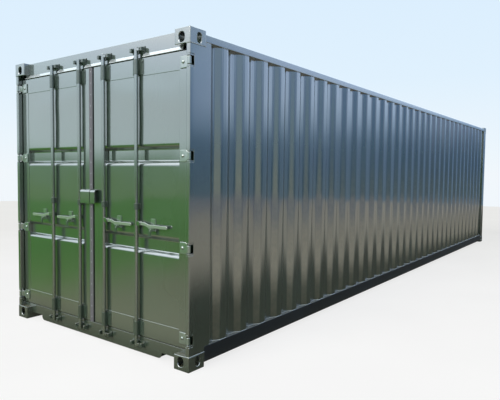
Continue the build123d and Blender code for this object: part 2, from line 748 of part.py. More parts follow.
def hinge_lugs():
    """Pairs of ears welded in the posts' recesses, each pair with its pin."""
    seat_x = POST_INNER + POST_WALL
    recess_back = DOOR_END + HINGE_RECESS_DEPTH
    seat_back = recess_back + EAR_SEAT
    tip_x = PIN_X + EAR_RADIUS
    tip_y = PIN_Y - EAR_RADIUS
    outer = HINGE_RECESS_HEIGHT / 2
    with BuildPart() as lugs:
        for side in SIDES.values():
            ear = [
                (side * seat_x, seat_back),
                (side * seat_x, tip_y + EAR_CHAMFER),
                (side * (seat_x + EAR_CHAMFER), tip_y),
                (side * (tip_x - EAR_CHAMFER), tip_y),
                (side * tip_x, tip_y + EAR_CHAMFER),
                (side * tip_x, recess_back),
                (side * WALL_FACE, recess_back),
                (side * PIN_X, seat_back),
            ]
            for height in HINGE_HEIGHTS:
                for low in (height - outer, height + outer - EAR_THICKNESS):
                    with BuildSketch(Plane.XY.offset(low)):
                        with BuildLine():
                            Polyline(*ear, close=True)
                        make_face()
                    extrude(amount=EAR_THICKNESS)
                with BuildSketch(Plane.XY.offset(height - outer)):
                    with Locations((side * PIN_X, PIN_Y)):
                        Circle(PIN_RADIUS)
                extrude(amount=2 * outer)
    save(lugs, "hinge_lugs")


def hinge_blades(side, name):
    """Cranked blades, each an eye on the pin and a flared plate on the leaf."""
    plate_front = LEAF_FRONT_Y - BLADE_THICKNESS
    root_x = side * (PIN_X - BLADE_ROOT)
    flare_x = root_x - side * BLADE_FLARE
    end_x = side * (HALF_WIDTH - BLADE_END)
    pin = (side * PIN_X, PIN_Y)
    arm = [
        (side * PIN_X, PIN_Y - EAR_RADIUS),
        (root_x, plate_front),
        (end_x, plate_front),
        (end_x, LEAF_FRONT_Y),
        (side * LEAF_OUTER, LEAF_FRONT_Y),
        (side * PIN_X, PIN_Y + EAR_RADIUS),
    ]
    with BuildPart() as blades:
        for height in HINGE_HEIGHTS:
            with BuildSketch(Plane.XY.offset(height - BLADE_EYE_HEIGHT / 2)):
                with BuildLine():
                    Polyline(*arm, close=True)
                make_face()
                with Locations(pin):
                    Circle(EAR_RADIUS)
                    Circle(PIN_RADIUS + PIN_CLEARANCE, mode=Mode.SUBTRACT)
            extrude(amount=BLADE_EYE_HEIGHT)
            flare = [
                (root_x, height - BLADE_EYE_HEIGHT / 2),
                (flare_x, height - BLADE_HEIGHT / 2),
                (end_x, height - BLADE_HEIGHT / 2),
                (end_x, height + BLADE_HEIGHT / 2),
                (flare_x, height + BLADE_HEIGHT / 2),
                (root_x, height + BLADE_EYE_HEIGHT / 2),
            ]
            with BuildSketch(Plane.XZ.offset(-plate_front)):
                with BuildLine():
                    Polyline(*flare, close=True)
                make_face()
            extrude(amount=-BLADE_THICKNESS)
    save(blades, name)


def leaf_frame(side, name):
    """Welded leaf frame: two tube stiles and two channel rails open to the inside."""
    depth = (LEAF_FRONT_Y, LEAF_BACK_Y)
    hinge_x = (side * (LEAF_OUTER - HINGE_STILE), side * LEAF_OUTER)
    lock_x = (side * LEAF_MEETING_EDGE, side * (LEAF_MEETING_EDGE + LOCK_STILE))
    rail_x = (lock_x[1], hinge_x[0])
    core_depth = (LEAF_FRONT_Y + LEAF_WALL, LEAF_BACK_Y - LEAF_WALL)
    with BuildPart() as frame:
        for stile in (hinge_x, lock_x):
            block(stile, depth, (LEAF_BOTTOM, LEAF_TOP))
            core = (stile[0] + side * LEAF_WALL, stile[1] - side * LEAF_WALL)
            block(core, core_depth, (LEAF_BOTTOM, LEAF_TOP - LEAF_WALL), Mode.SUBTRACT)
        for low in (LEAF_BOTTOM, LEAF_TOP - LEAF_RAIL):
            high = low + LEAF_RAIL
            channel = [
                (LEAF_FRONT_Y, low),
                (LEAF_FRONT_Y, high),
                (LEAF_BACK_Y, high),
                (LEAF_BACK_Y, high - LEAF_WALL),
                (LEAF_FRONT_Y + LEAF_WALL, high - LEAF_WALL),
                (LEAF_FRONT_Y + LEAF_WALL, low + LEAF_WALL),
                (LEAF_BACK_Y, low + LEAF_WALL),
                (LEAF_BACK_Y, low),
            ]
            with BuildSketch(Plane.YZ.offset(rail_x[0])):
                with BuildLine():
                    Polyline(*channel, close=True)
                make_face()
            extrude(amount=rail_x[1] - rail_x[0])
    save(frame, name)


def leaf_panel(side, name):
    """Pressed panel with two flat-bottomed troughs, welded inside the leaf frame."""
    face = LEAF_FRONT_Y + PANEL_STEP
    floor_y = face + TROUGH_DEPTH
    low = LEAF_BOTTOM + LEAF_RAIL
    high = LEAF_TOP - LEAF_RAIL
    line = [(face, low)]
    for centre in TROUGH_CENTRES:
        line.append((face, centre - TROUGH_HEIGHT / 2))
        line.append((floor_y, centre - TROUGH_FLAT / 2))
        line.append((floor_y, centre + TROUGH_FLAT / 2))
        line.append((face, centre + TROUGH_HEIGHT / 2))
    line.append((face, high))
    start = side * (LEAF_MEETING_EDGE + LOCK_STILE)
    end = side * (LEAF_OUTER - HINGE_STILE)
    with BuildPart() as panel:
        with BuildSketch(Plane.YZ.offset(start)):
            with BuildLine():
                Polyline(*sheet_outline(line, (SHEET, 0.0)), close=True)
            make_face()
        extrude(amount=end - start)
    save(panel, name)


def leaf_gasket(side, name):
    """Rubber seal round the leaf's edge; the left leaf also has the centre strip."""
    lip_middle = (LEAF_FRONT_Y + LEAF_BACK_Y) / 2
    lip_half = GASKET_LIP_THICKNESS / 2
    lip_y = (lip_middle - lip_half, lip_middle + lip_half)
    low = LEAF_BOTTOM - GASKET_BOTTOM_LIP
    high = LEAF_TOP + GASKET_TOP_LIP
    outer = side * (LEAF_OUTER + GASKET_LIP)
    inner = side * (LEAF_MEETING_EDGE - CENTRE_LIP)
    with BuildPart() as gasket:
        block((inner, outer), lip_y, (low, high))
        leaf_x = (side * LEAF_MEETING_EDGE, side * LEAF_OUTER)
        block(leaf_x, lip_y, (LEAF_BOTTOM, LEAF_TOP), Mode.SUBTRACT)
        if side < 0:
            strip_x = (side * LEAF_MEETING_EDGE, side * (LEAF_MEETING_EDGE + CENTRE_STRIP_WIDTH))
            strip_y = (LEAF_FRONT_Y - CENTRE_STRIP_THICKNESS, LEAF_FRONT_Y)
            block(strip_x, strip_y, (LEAF_BOTTOM, BOX_BOTTOM))
            block(strip_x, strip_y, (BOX_TOP, LEAF_TOP))
    save(gasket, name)


def rod_brackets(side, name):
    """Bearing brackets: a plate on the leaf and a strap bowed over the rod."""
    plate_y = LEAF_FRONT_Y - BRACKET_PLATE
    bore = ROD_RADIUS + BRACKET_CLEARANCE
    shell = bore + BRACKET_STRAP
    foot = LEAF_BOTTOM + BRACKET_LOW_GAP
    head = LEAF_TOP - BRACKET_HIGH_GAP
    middle = HANDLE_HEIGHT + MID_BRACKET_RISE
    middle_z = (middle, middle + MID_BRACKET_HEIGHT)
    bands = (
        (foot, foot + BRACKET_HEIGHT, BRACKET_WIDTH),
        (*middle_z, MID_BRACKET_WIDTH),
        (head - BRACKET_HEIGHT, head, BRACKET_WIDTH),
    )
    with BuildPart() as brackets:
        for rod in ROD_OFFSETS:
            x_mid = side * rod
            pad_x = (x_mid - MID_BRACKET_PAD / 2, x_mid + MID_BRACKET_PAD / 2)
            block(pad_x, (LEAF_FRONT_Y, LEAF_FRONT_Y + PANEL_STEP), middle_z)
            for low, high, width in bands:
                with BuildSketch(Plane.XY.offset(low)):
                    with Locations((x_mid, plate_y + BRACKET_PLATE / 2)):
                        Rectangle(width, BRACKET_PLATE)
                    with Locations((x_mid, ROD_Y)):
                        Circle(shell)
                    with Locations((x_mid, (ROD_Y + plate_y) / 2)):
                        Rectangle(2 * shell, plate_y - ROD_Y)
                    with Locations((x_mid, ROD_Y)):
                        Circle(bore, mode=Mode.SUBTRACT)
                    with Locations((x_mid, (ROD_Y + plate_y) / 2)):
                        Rectangle(2 * bore, plate_y - ROD_Y, mode=Mode.SUBTRACT)
                extrude(amount=high - low)
    save(brackets, name)


def lock_rod(side, rod, name):
    """Lock rod with a cam at each end and the clevis that carries the handle."""
    x_mid = side * rod
    ear_inner = HANDLE_BAR_THICKNESS / 2 + HUB_GAP
    pivot_x = x_mid + side * HANDLE_PIVOT
    ear_start = x_mid + side * (ROD_RADIUS - ROD_WALL)
    ear_end = pivot_x + side * HUB_HEIGHT / 2
    ear_low = HANDLE_HEIGHT - HUB_HEIGHT / 2
    ear_high = HANDLE_HEIGHT + HUB_HEIGHT / 2
    ear = [
        (ear_start, ear_low),
        (ear_end - side * HUB_CHAMFER, ear_low),
        (ear_end, ear_low + HUB_CHAMFER),
        (ear_end, ear_high - HUB_CHAMFER),
        (ear_end - side * HUB_CHAMFER, ear_high),
        (ear_start, ear_high),
    ]
    with BuildPart() as bar:
        with BuildSketch(Plane.XY.offset(ROD_BOTTOM)):
            with Locations((x_mid, ROD_Y)):
                Circle(ROD_RADIUS)
                Circle(ROD_RADIUS - ROD_WALL, mode=Mode.SUBTRACT)
        extrude(amount=ROD_TOP - ROD_BOTTOM)
        for height in (BOTTOM_KEEPER_HEIGHT, TOP_KEEPER_HEIGHT):
            tip_x = x_mid + side * (CAM_REACH - CAM_TIP_RADIUS)
            with BuildSketch(Plane.XY.offset(height - CAM_THICKNESS / 2)):
                with BuildLine():
                    Polyline(
                        (x_mid, ROD_Y - ROD_RADIUS),
                        (tip_x, ROD_Y - CAM_TIP_RADIUS),
                        (tip_x, ROD_Y + CAM_TIP_RADIUS),
                        (x_mid, ROD_Y + ROD_RADIUS),
                        close=True,
                    )
                make_face()
                with Locations((tip_x, ROD_Y)):
                    Circle(CAM_TIP_RADIUS)
            extrude(amount=CAM_THICKNESS)
        for way in (-1, 1):
            plane_y = ROD_Y + way * ear_inner
            with BuildSketch(Plane.XZ.offset(-plane_y)):
                with BuildLine():
                    Polyline(*ear, close=True)
                make_face()
            extrude(amount=-way * HUB_EAR)
        with BuildSketch(Plane.XZ.offset(-ROD_Y + ear_inner)):
            with Locations((pivot_x, HANDLE_HEIGHT)):
                Circle(HANDLE_PIN_RADIUS)
        extrude(amount=-2 * ear_inner)
    save(bar, name)


def handle(side, rod, name):
    """Cranked flat-bar handle with a rounded grip end, pivoted on the rod's clevis."""
    x_mid = side * rod
    half = HANDLE_BAR_HEIGHT / 2
    low = HANDLE_HEIGHT - HANDLE_CRANK_DROP
    centre_line = [
        (x_mid + side * HANDLE_PIVOT, HANDLE_HEIGHT),
        (x_mid + side * HANDLE_CRANK_START, HANDLE_HEIGHT),
        (x_mid + side * HANDLE_CRANK_END, low),
        (x_mid + side * (HANDLE_LENGTH - half), low),
    ]
    upper = [(x, z + half) for x, z in centre_line]
    lower = [(x, z - half) for x, z in reversed(centre_line)]
    with BuildPart() as lever:
        with BuildSketch(Plane.XZ.offset(-ROD_Y + HANDLE_BAR_THICKNESS / 2)):
            with BuildLine():
                Polyline(*(upper + lower), close=True)
            make_face()
            with Locations(centre_line[0], centre_line[-1]):
                Circle(half)
            with Locations(centre_line[0]):
                Circle(HANDLE_PIN_RADIUS + PIN_CLEARANCE, mode=Mode.SUBTRACT)
        extrude(amount=-HANDLE_BAR_THICKNESS)
    save(lever, name)


def shelf_heights():
    """Top and underside of the shelf that a resting handle lies on."""
    seat = HANDLE_HEIGHT - HANDLE_CRANK_DROP - HANDLE_BAR_HEIGHT / 2 - SHELF_SEAT_GAP
    return seat, seat - SHELF_THICKNESS


def retainers(side, name):
    """Handle retainers: a plate on the leaf, a shelf for the handle and a catch pin."""
    plate_y = LEAF_FRONT_Y - RETAINER_PLATE
    catch_back = DOOR_END + CATCH_FRONT + CATCH_THICKNESS
    shelf_front = catch_back + SHELF_FRONT_GAP
    seat, under = shelf_heights()
    pin_z = under - CATCH_PIN_DROP
    half = RETAINER_WIDTH / 2
    with BuildPart() as row:
        for rod in ROD_OFFSETS:
            x_mid = side * (rod + RETAINER_OFFSET)
            plate_z = (HANDLE_HEIGHT - RETAINER_FALL, HANDLE_HEIGHT + RETAINER_RISE)
            seat_y = LEAF_FRONT_Y + PANEL_STEP
            block((x_mid - half, x_mid + half), (plate_y, seat_y), plate_z)
            block((x_mid - half, x_mid + half), (shelf_front, plate_y), (under, seat))
            with BuildSketch(Plane.XZ.offset(-plate_y)):
                with Locations((x_mid, pin_z)):
                    Circle(CATCH_PIN_RADIUS)
            extrude(amount=plate_y - DOOR_END - CATCH_FRONT)
    save(row, name)


def catch(side, rod, name):
    """Swinging catch that hangs from its pin and turns up in front of the handle."""
    x_mid = side * (rod + RETAINER_OFFSET)
    pin_z = shelf_heights()[1] - CATCH_PIN_DROP
    half = CATCH_WIDTH / 2
    top = pin_z + half
    outline = [
        (x_mid - half, top - CATCH_LENGTH),
        (x_mid + half, top - CATCH_LENGTH),
        (x_mid + half, top - CATCH_CHAMFER),
        (x_mid + half - CATCH_CHAMFER, top),
        (x_mid - half + CATCH_CHAMFER, top),
        (x_mid - half, top - CATCH_CHAMFER),
    ]
    with BuildPart() as plate:
        with BuildSketch(Plane.XZ.offset(-DOOR_END - CATCH_FRONT)):
            with BuildLine():
                Polyline(*outline, close=True)
            make_face()
            with Locations((x_mid, pin_z)):
                Circle(CATCH_PIN_RADIUS + CATCH_CLEARANCE, mode=Mode.SUBTRACT)
        extrude(amount=-CATCH_THICKNESS)
    save(plate, name)


def lock_box(side, name):
    """Half of the bent steel box over the door gap, with a drilled staple inside."""
    front = DOOR_END + BOX_FRONT
    split = side * BOX_SPLIT
    outer = BOX_LEFT if side < 0 else BOX_RIGHT
    staple_x = (side * STAPLE_INSET, side * (STAPLE_INSET + STAPLE_PLATE))
    staple_low = BOX_BOTTOM + STAPLE_RISE
    hole_z = BOX_BOTTOM + STAPLE_HOLE_RISE
    staple_front = front + STAPLE_SETBACK
    hood = [
        (front, BOX_BOTTOM),
        (front, BOX_TOP),
        (LEAF_FRONT_Y, BOX_TOP),
        (LEAF_FRONT_Y, BOX_TOP - BOX_PLATE),
        (front + BOX_PLATE, BOX_TOP - BOX_PLATE),
        (front + BOX_PLATE, BOX_BOTTOM),
    ]
    with BuildPart() as box:
        with BuildSketch(Plane.YZ.offset(split)) as section:
            with BuildLine():
                Polyline(*hood, close=True)
            make_face()
            outer_corner = (front, BOX_TOP)
            inner = (front + BOX_PLATE, BOX_TOP - BOX_PLATE)
            fillet(section.vertices().sort_by_distance(outer_corner)[0], BOX_BEND)
            fillet(section.vertices().sort_by_distance(inner)[0], BOX_BEND - BOX_PLATE)
        extrude(amount=outer - split)
        if side < 0:
            with BuildSketch(Plane.YZ.offset(outer)) as cheek:
                with Locations(((front + LEAF_FRONT_Y) / 2, (BOX_BOTTOM + BOX_TOP) / 2)):
                    Rectangle(LEAF_FRONT_Y - front, BOX_HEIGHT)
                fillet(cheek.vertices().sort_by_distance(outer_corner)[0], BOX_BEND)
            extrude(amount=BOX_PLATE)
        staple_top = BOX_TOP - BOX_PLATE
        block(staple_x, (staple_front, LEAF_FRONT_Y), (staple_low, staple_top))
        with BuildSketch(Plane.YZ.offset(staple_x[0])):
            with Locations(((staple_front + LEAF_FRONT_Y) / 2, hole_z)):
                Circle(STAPLE_HOLE_RADIUS)
        extrude(amount=staple_x[1] - staple_x[0], mode=Mode.SUBTRACT)
    save(box, name)


os.makedirs("parts", exist_ok=True)
castings(HEIGHT - CASTING_HEIGHT, 1, "top_castings")
castings(0.0, -1, "bottom_castings")
far_posts()
top_rails()
bottom_rails()
for word, sign in SIDES.items():
    door_post(sign, f"door_post_{word}")
    side_wall(sign, f"side_wall_{word}")
    hinge_blades(sign, f"hinge_blades_{word}")
    leaf_frame(sign, f"door_frame_{word}")
    leaf_panel(sign, f"door_panel_{word}")
    leaf_gasket(sign, f"door_gasket_{word}")
    rod_brackets(sign, f"rod_brackets_{word}")
    retainers(sign, f"handle_retainers_{word}")
    lock_box(sign, f"lock_box_{word}")
    for place, offset_x in zip(("inner", "outer"), ROD_OFFSETS):
        lock_rod(sign, offset_x, f"lock_rod_{word}_{place}")
        handle(sign, offset_x, f"handle_{word}_{place}")
        catch(sign, offset_x, f"catch_{word}_{place}")
far_wall()
far_rails()
roof()
cross_members()
floor()
door_header()
drip_ledge()
door_sill()
hinge_lugs()
cam_keepers()
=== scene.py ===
import math

import bmesh
import bpy
from mathutils import Matrix


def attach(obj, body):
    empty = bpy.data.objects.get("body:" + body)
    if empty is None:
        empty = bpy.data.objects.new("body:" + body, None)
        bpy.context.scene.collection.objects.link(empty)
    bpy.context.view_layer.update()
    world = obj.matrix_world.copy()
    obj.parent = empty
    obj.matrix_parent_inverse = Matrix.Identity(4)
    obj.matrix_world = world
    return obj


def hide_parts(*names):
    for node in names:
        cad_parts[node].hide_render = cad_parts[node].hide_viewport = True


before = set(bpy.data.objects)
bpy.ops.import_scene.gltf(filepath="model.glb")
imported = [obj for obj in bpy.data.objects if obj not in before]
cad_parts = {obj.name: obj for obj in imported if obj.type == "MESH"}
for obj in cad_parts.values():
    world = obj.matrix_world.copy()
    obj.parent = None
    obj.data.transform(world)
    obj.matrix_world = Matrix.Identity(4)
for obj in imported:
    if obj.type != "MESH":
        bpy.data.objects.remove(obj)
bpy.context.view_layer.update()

# The photographer's camera: held at eye height off the near door corner, about 8 m from
# the middle of the container, level but for a slight tilt.
CAMERA_PLACE = (3.8013, -7.5926, 1.5278)
CAMERA_TURN = math.radians(36.668)
CAMERA_PITCH = math.radians(-3.17)
CAMERA_ROLL = math.radians(0.651)
lens = bpy.data.cameras.new("camera")
lens.sensor_width = 36.0
lens.lens = 36.15
camera = bpy.data.objects.new("camera", lens)
bpy.context.collection.objects.link(camera)
camera.matrix_world = (
    Matrix.Translation(CAMERA_PLACE)
    @ Matrix.Rotation(CAMERA_TURN, 4, "Z")
    @ Matrix.Rotation(math.pi / 2 + CAMERA_PITCH, 4, "X")
    @ Matrix.Rotation(CAMERA_ROLL, 4, "Z")
)
bpy.context.scene.camera = camera
bpy.context.scene.view_settings.view_transform = "Standard"


# The yard and the light: a pale floor under a soft sky and one broad sun. The paint is
# glossy, so what it mirrors has its own colours: sky above, a hedge and haze level with the
# container, and grass and gravel below.
def linear(code):
    """sRGB hex colour as linear red, green, blue and alpha."""
    parts = [int(code[place:place + 2], 16) / 255 for place in (1, 3, 5)]
    return tuple(part / 12.92 if part <= 0.04045 else ((part + 0.055) / 1.055) ** 2.4
                 for part in parts) + (1.0,)


def add_node(tree, kind, settings=(), inputs=()):
    """Add a node, set its fields, and set or link its inputs by name or number, where a node
    stands for its first output. A ramp's stops are places from 0 to 1 with a hex colour each."""
    node = tree.nodes.new(kind)
    for field, value in dict(settings).items():
        if field != "stops":
            setattr(node, field, value)
            continue
        band = node.color_ramp.elements
        band.remove(band[-1])
        for number, (place, code) in enumerate(value):
            stop = band[0] if number == 0 else band.new(place)
            stop.position = place
            stop.color = linear(code)
    for socket, value in dict(inputs).items():
        if isinstance(value, bpy.types.Node):
            value = value.outputs[0]
        if isinstance(value, bpy.types.NodeSocket):
            tree.links.new(value, node.inputs[socket])
        else:
            node.inputs[socket].default_value = value
    return node


MATH = "ShaderNodeMath"
SMOOTH = {"interpolation_type": "SMOOTHSTEP"}
COLOURS = {"data_type": "RGBA"}
world = bpy.data.worlds.new("yard")
world.use_nodes = True
bpy.context.scene.world = world
sky = world.node_tree
sky.nodes.clear()
toward = add_node(sky, "ShaderNodeTexCoord").outputs["Generated"]
heading = add_node(sky, "ShaderNodeSeparateXYZ", inputs={0: toward}).outputs
seen = add_node(sky, "ShaderNodeMapRange", inputs={"Value": heading["Z"], "From Max": 0.4})
backdrop = add_node(sky, "ShaderNodeValToRGB", {"stops": [
    (0.0, "#f1f7fc"), (0.12, "#ecf6fd"), (0.45, "#e0f1fe"), (1.0, "#d9edfe")]},
    {"Fac": seen})
# What the paint mirrors, from straight down (0) to straight up (1), with level at 0.5: before
# the doors, square beside the container, slanting and glancing away beside it, and behind it.
BEFORE = [
    (0.0, "#4a4f3c"), (0.485, "#537040"), (0.503, "#577458"), (0.512, "#8a9e98"),
    (0.522, "#b0c2c2"), (0.534, "#b6c5ca"), (0.56, "#b5c2c8"), (0.578, "#b6c6ce"),
    (0.597, "#c2d3de"), (0.6125, "#d0dcec"), (0.63, "#f0f8ff")]
BESIDE = [
    (0.0, "#4a4a42"), (0.49, "#737c78"), (0.509, "#6e7a7c"), (0.526, "#728188"),
    (0.544, "#778a94"), (0.57, "#7b8fa1"), (0.604, "#778ca6"), (0.7, "#93aab8"), (0.85, "#d4e0e8")]
SLANTING = [
    (0.0, "#3f433c"), (0.49, "#344c60"), (0.509, "#34506c"), (0.526, "#3c5876"),
    (0.544, "#4d6a8c"), (0.57, "#567298"), (0.604, "#6a85a6"), (0.7, "#93aab8"), (0.85, "#d4e0e8")]
GLANCING = [
    (0.0, "#3f433c"), (0.491, "#2f465a"), (0.5, "#304660"), (0.509, "#364c66"),
    (0.517, "#445671"), (0.526, "#556680"), (0.535, "#6c7b96"), (0.544, "#7c8aa6"),
    (0.604, "#93a5c2"), (0.7, "#a3b4cc"), (0.85, "#d4e0e8")]
BEHIND = [
    (0.0, "#3f3f38"), (0.485, "#4b5e70"), (0.509, "#455973"), (0.526, "#4c617a"),
    (0.535, "#5c728b"), (0.552, "#889db6"), (0.57, "#a1b5cf"), (0.604, "#a4b9d8"),
    (0.66, "#a9bcd8"), (0.8, "#c0d3ea")]
upward = add_node(sky, "ShaderNodeMapRange",
                  inputs={"Value": heading["Z"], "From Min": -1.0, "From Max": 1.0})
surroundings = add_node(sky, "ShaderNodeValToRGB", {"stops": BEFORE}, {"Fac": upward}).outputs[0]
# Each view takes over from the last while the heading turns from the doors' end to the far end.
for stops, first, last in ((BESIDE, -0.5, -0.15), (SLANTING, -0.06, 0.22), (GLANCING, 0.26, 0.33),
                           (SLANTING, 0.4, 0.6), (BEHIND, 0.62, 0.84)):
    turned = add_node(sky, "ShaderNodeMapRange", SMOOTH,
                      {"Value": heading["Y"], "From Min": first, "From Max": last})
    view = add_node(sky, "ShaderNodeValToRGB", {"stops": stops}, {"Fac": upward})
    surroundings = add_node(sky, "ShaderNodeMix", COLOURS,
                            {"Factor": turned, 6: surroundings, 7: view}).outputs[2]
# The mirrored yard is far brighter than its colours, and the sky overhead brighter still.
overhead = add_node(sky, "ShaderNodeMapRange", SMOOTH, {
    "Value": heading["Z"], "From Min": 0.3, "From Max": 0.75, "To Min": 2.7, "To Max": 4.0})
glare = add_node(sky, "ShaderNodeVectorMath", {"operation": "SCALE"},
                 {0: surroundings, "Scale": overhead})
# Glossy rays meet that, the camera meets the backdrop, and all else gets one soft grey light.
path = add_node(sky, "ShaderNodeLightPath").outputs
shine = add_node(sky, MATH, {"operation": "MAXIMUM"},
                 {0: path["Is Glossy Ray"], 1: path["Is Transmission Ray"]})
lit = add_node(sky, "ShaderNodeMix", COLOURS,
               {"Factor": shine, 6: linear("#a9adb1"), 7: glare})
shown = add_node(sky, "ShaderNodeMix", COLOURS,
                 {"Factor": path["Is Camera Ray"], 6: lit.outputs[2], 7: backdrop})
background = add_node(sky, "ShaderNodeBackground", inputs={"Color": shown.outputs[2]})
add_node(sky, "ShaderNodeOutputWorld", inputs={"Surface": background})

sun = bpy.data.lights.new("sun", "SUN")
sun.energy = 2.1
sun.angle = math.radians(30)
sun.color = linear("#fff8ec")[:3]
sun_object = bpy.data.objects.new("sun", sun)
sun_object.rotation_euler = (math.radians(55), 0.0, math.radians(-12))
bpy.context.collection.objects.link(sun_object)

YARD_RADIUS = 27.0
concrete = bpy.data.materials.new("pale_yard_concrete")
concrete.use_nodes = True
tree = concrete.node_tree
tree.nodes.clear()
here = add_node(tree, "ShaderNodeTexCoord").outputs["Object"]
spot = add_node(tree, "ShaderNodeSeparateXYZ", inputs={0: here}).outputs
# Smooth trowelled concrete: very slight cloudy patches 1 to 2 m across, and painted shade that
# darkens it with distance from the camera, so it is paler at the front.
clouds = add_node(tree, "ShaderNodeTexNoise", inputs={"Vector": here, "Scale": 0.7, "Detail": 2.0})
tone = add_node(tree, "ShaderNodeMapRange", inputs={
    "Value": clouds, "From Min": 0.3, "From Max": 0.7, "To Min": 0.99, "To Max": 1.01})
reach = add_node(tree, "ShaderNodeVectorMath", {"operation": "DISTANCE"},
                 {0: here, 1: CAMERA_PLACE})
depth = add_node(tree, "ShaderNodeMapRange", inputs={
    "Value": reach.outputs["Value"], "From Min": 4.0, "From Max": 15.0})
shade_with_distance = add_node(tree, "ShaderNodeValToRGB", {"stops": [
    (0.0, "#fafafa"), (0.35, "#f6f6f6"), (1.0, "#ebebe9")]},
    {"Fac": depth})
cloudy = add_node(tree, "ShaderNodeVectorMath", {"operation": "SCALE"},
                  {0: shade_with_distance, "Scale": tone})
slab = add_node(tree, "ShaderNodeBsdfPrincipled", inputs={"Base Color": cloudy, "Roughness": 0.9})
haze = add_node(tree, "ShaderNodeEmission", inputs={"Color": cloudy})
# The camera sees the floor mostly as a glow of its own, as blank as the photo's background.
path = add_node(tree, "ShaderNodeLightPath").outputs
lifted = add_node(tree, MATH, {"operation": "MULTIPLY"},
                  {0: path["Is Camera Ray"], 1: 0.84})
pale = add_node(tree, "ShaderNodeMixShader", inputs={0: lifted, 1: slab, 2: haze})
# The paint mirrors a real yard instead: before the doors grass at the left and gravel at the
# right, gravel along both sides, haze far out, and the container's own shade close to it.
offside = add_node(tree, MATH, {"operation": "ABSOLUTE"}, {0: spot["X"]})
along = add_node(tree, "ShaderNodeMapRange", SMOOTH,
                 {"Value": spot["Y"], "From Min": -5.6, "From Max": -4.8})
apart = add_node(tree, "ShaderNodeMix", {"data_type": "FLOAT"},
                 {0: along, 2: spot["X"], 3: offside})
across = add_node(tree, "ShaderNodeMapRange", inputs={
    "Value": apart, "From Min": -7.0, "From Max": 17.0})
ground = add_node(tree, "ShaderNodeValToRGB", {"stops": [
    (0.0, "#59a31c"), (0.075, "#559d1c"), (0.165, "#71a746"), (0.25, "#a8ab8c"),
    (0.42, "#c6c1b2"), (0.5, "#d2ccbd"), (0.67, "#cbc5ba"), (0.88, "#a3a6b4")]},
    {"Fac": across})
sunlit = add_node(tree, "ShaderNodeMapRange", SMOOTH,
                  {"Value": offside, "From Min": 2.1, "From Max": 4.6, "To Min": 0.06})
ahead = add_node(tree, "ShaderNodeMapRange", SMOOTH, {
    "Value": spot["Y"], "From Min": -5.5, "From Max": -4.7, "To Min": 1.0, "To Max": 0.15})
open_ground = add_node(tree, MATH, {"operation": "MAXIMUM"},
                       {0: sunlit, 1: ahead})
mirrored = add_node(tree, "ShaderNodeEmission",
                    inputs={"Color": ground, "Strength": open_ground})
both = add_node(tree, "ShaderNodeMixShader",
                inputs={0: path["Is Glossy Ray"], 1: pale, 2: mirrored})
add_node(tree, "ShaderNodeOutputMaterial", inputs={"Surface": both})
yard = bmesh.new()
bmesh.ops.create_circle(yard, cap_ends=True, segments=256, radius=YARD_RADIUS)
bmesh.ops.translate(yard, verts=yard.verts, vec=(CAMERA_PLACE[0], CAMERA_PLACE[1], -0.002))
yard_mesh = bpy.data.meshes.new("yard_floor")
yard.to_mesh(yard_mesh)
yard.free()
yard_mesh.materials.append(concrete)
yard_floor = bpy.data.objects.new("yard_floor", yard_mesh)
bpy.context.collection.objects.link(yard_floor)


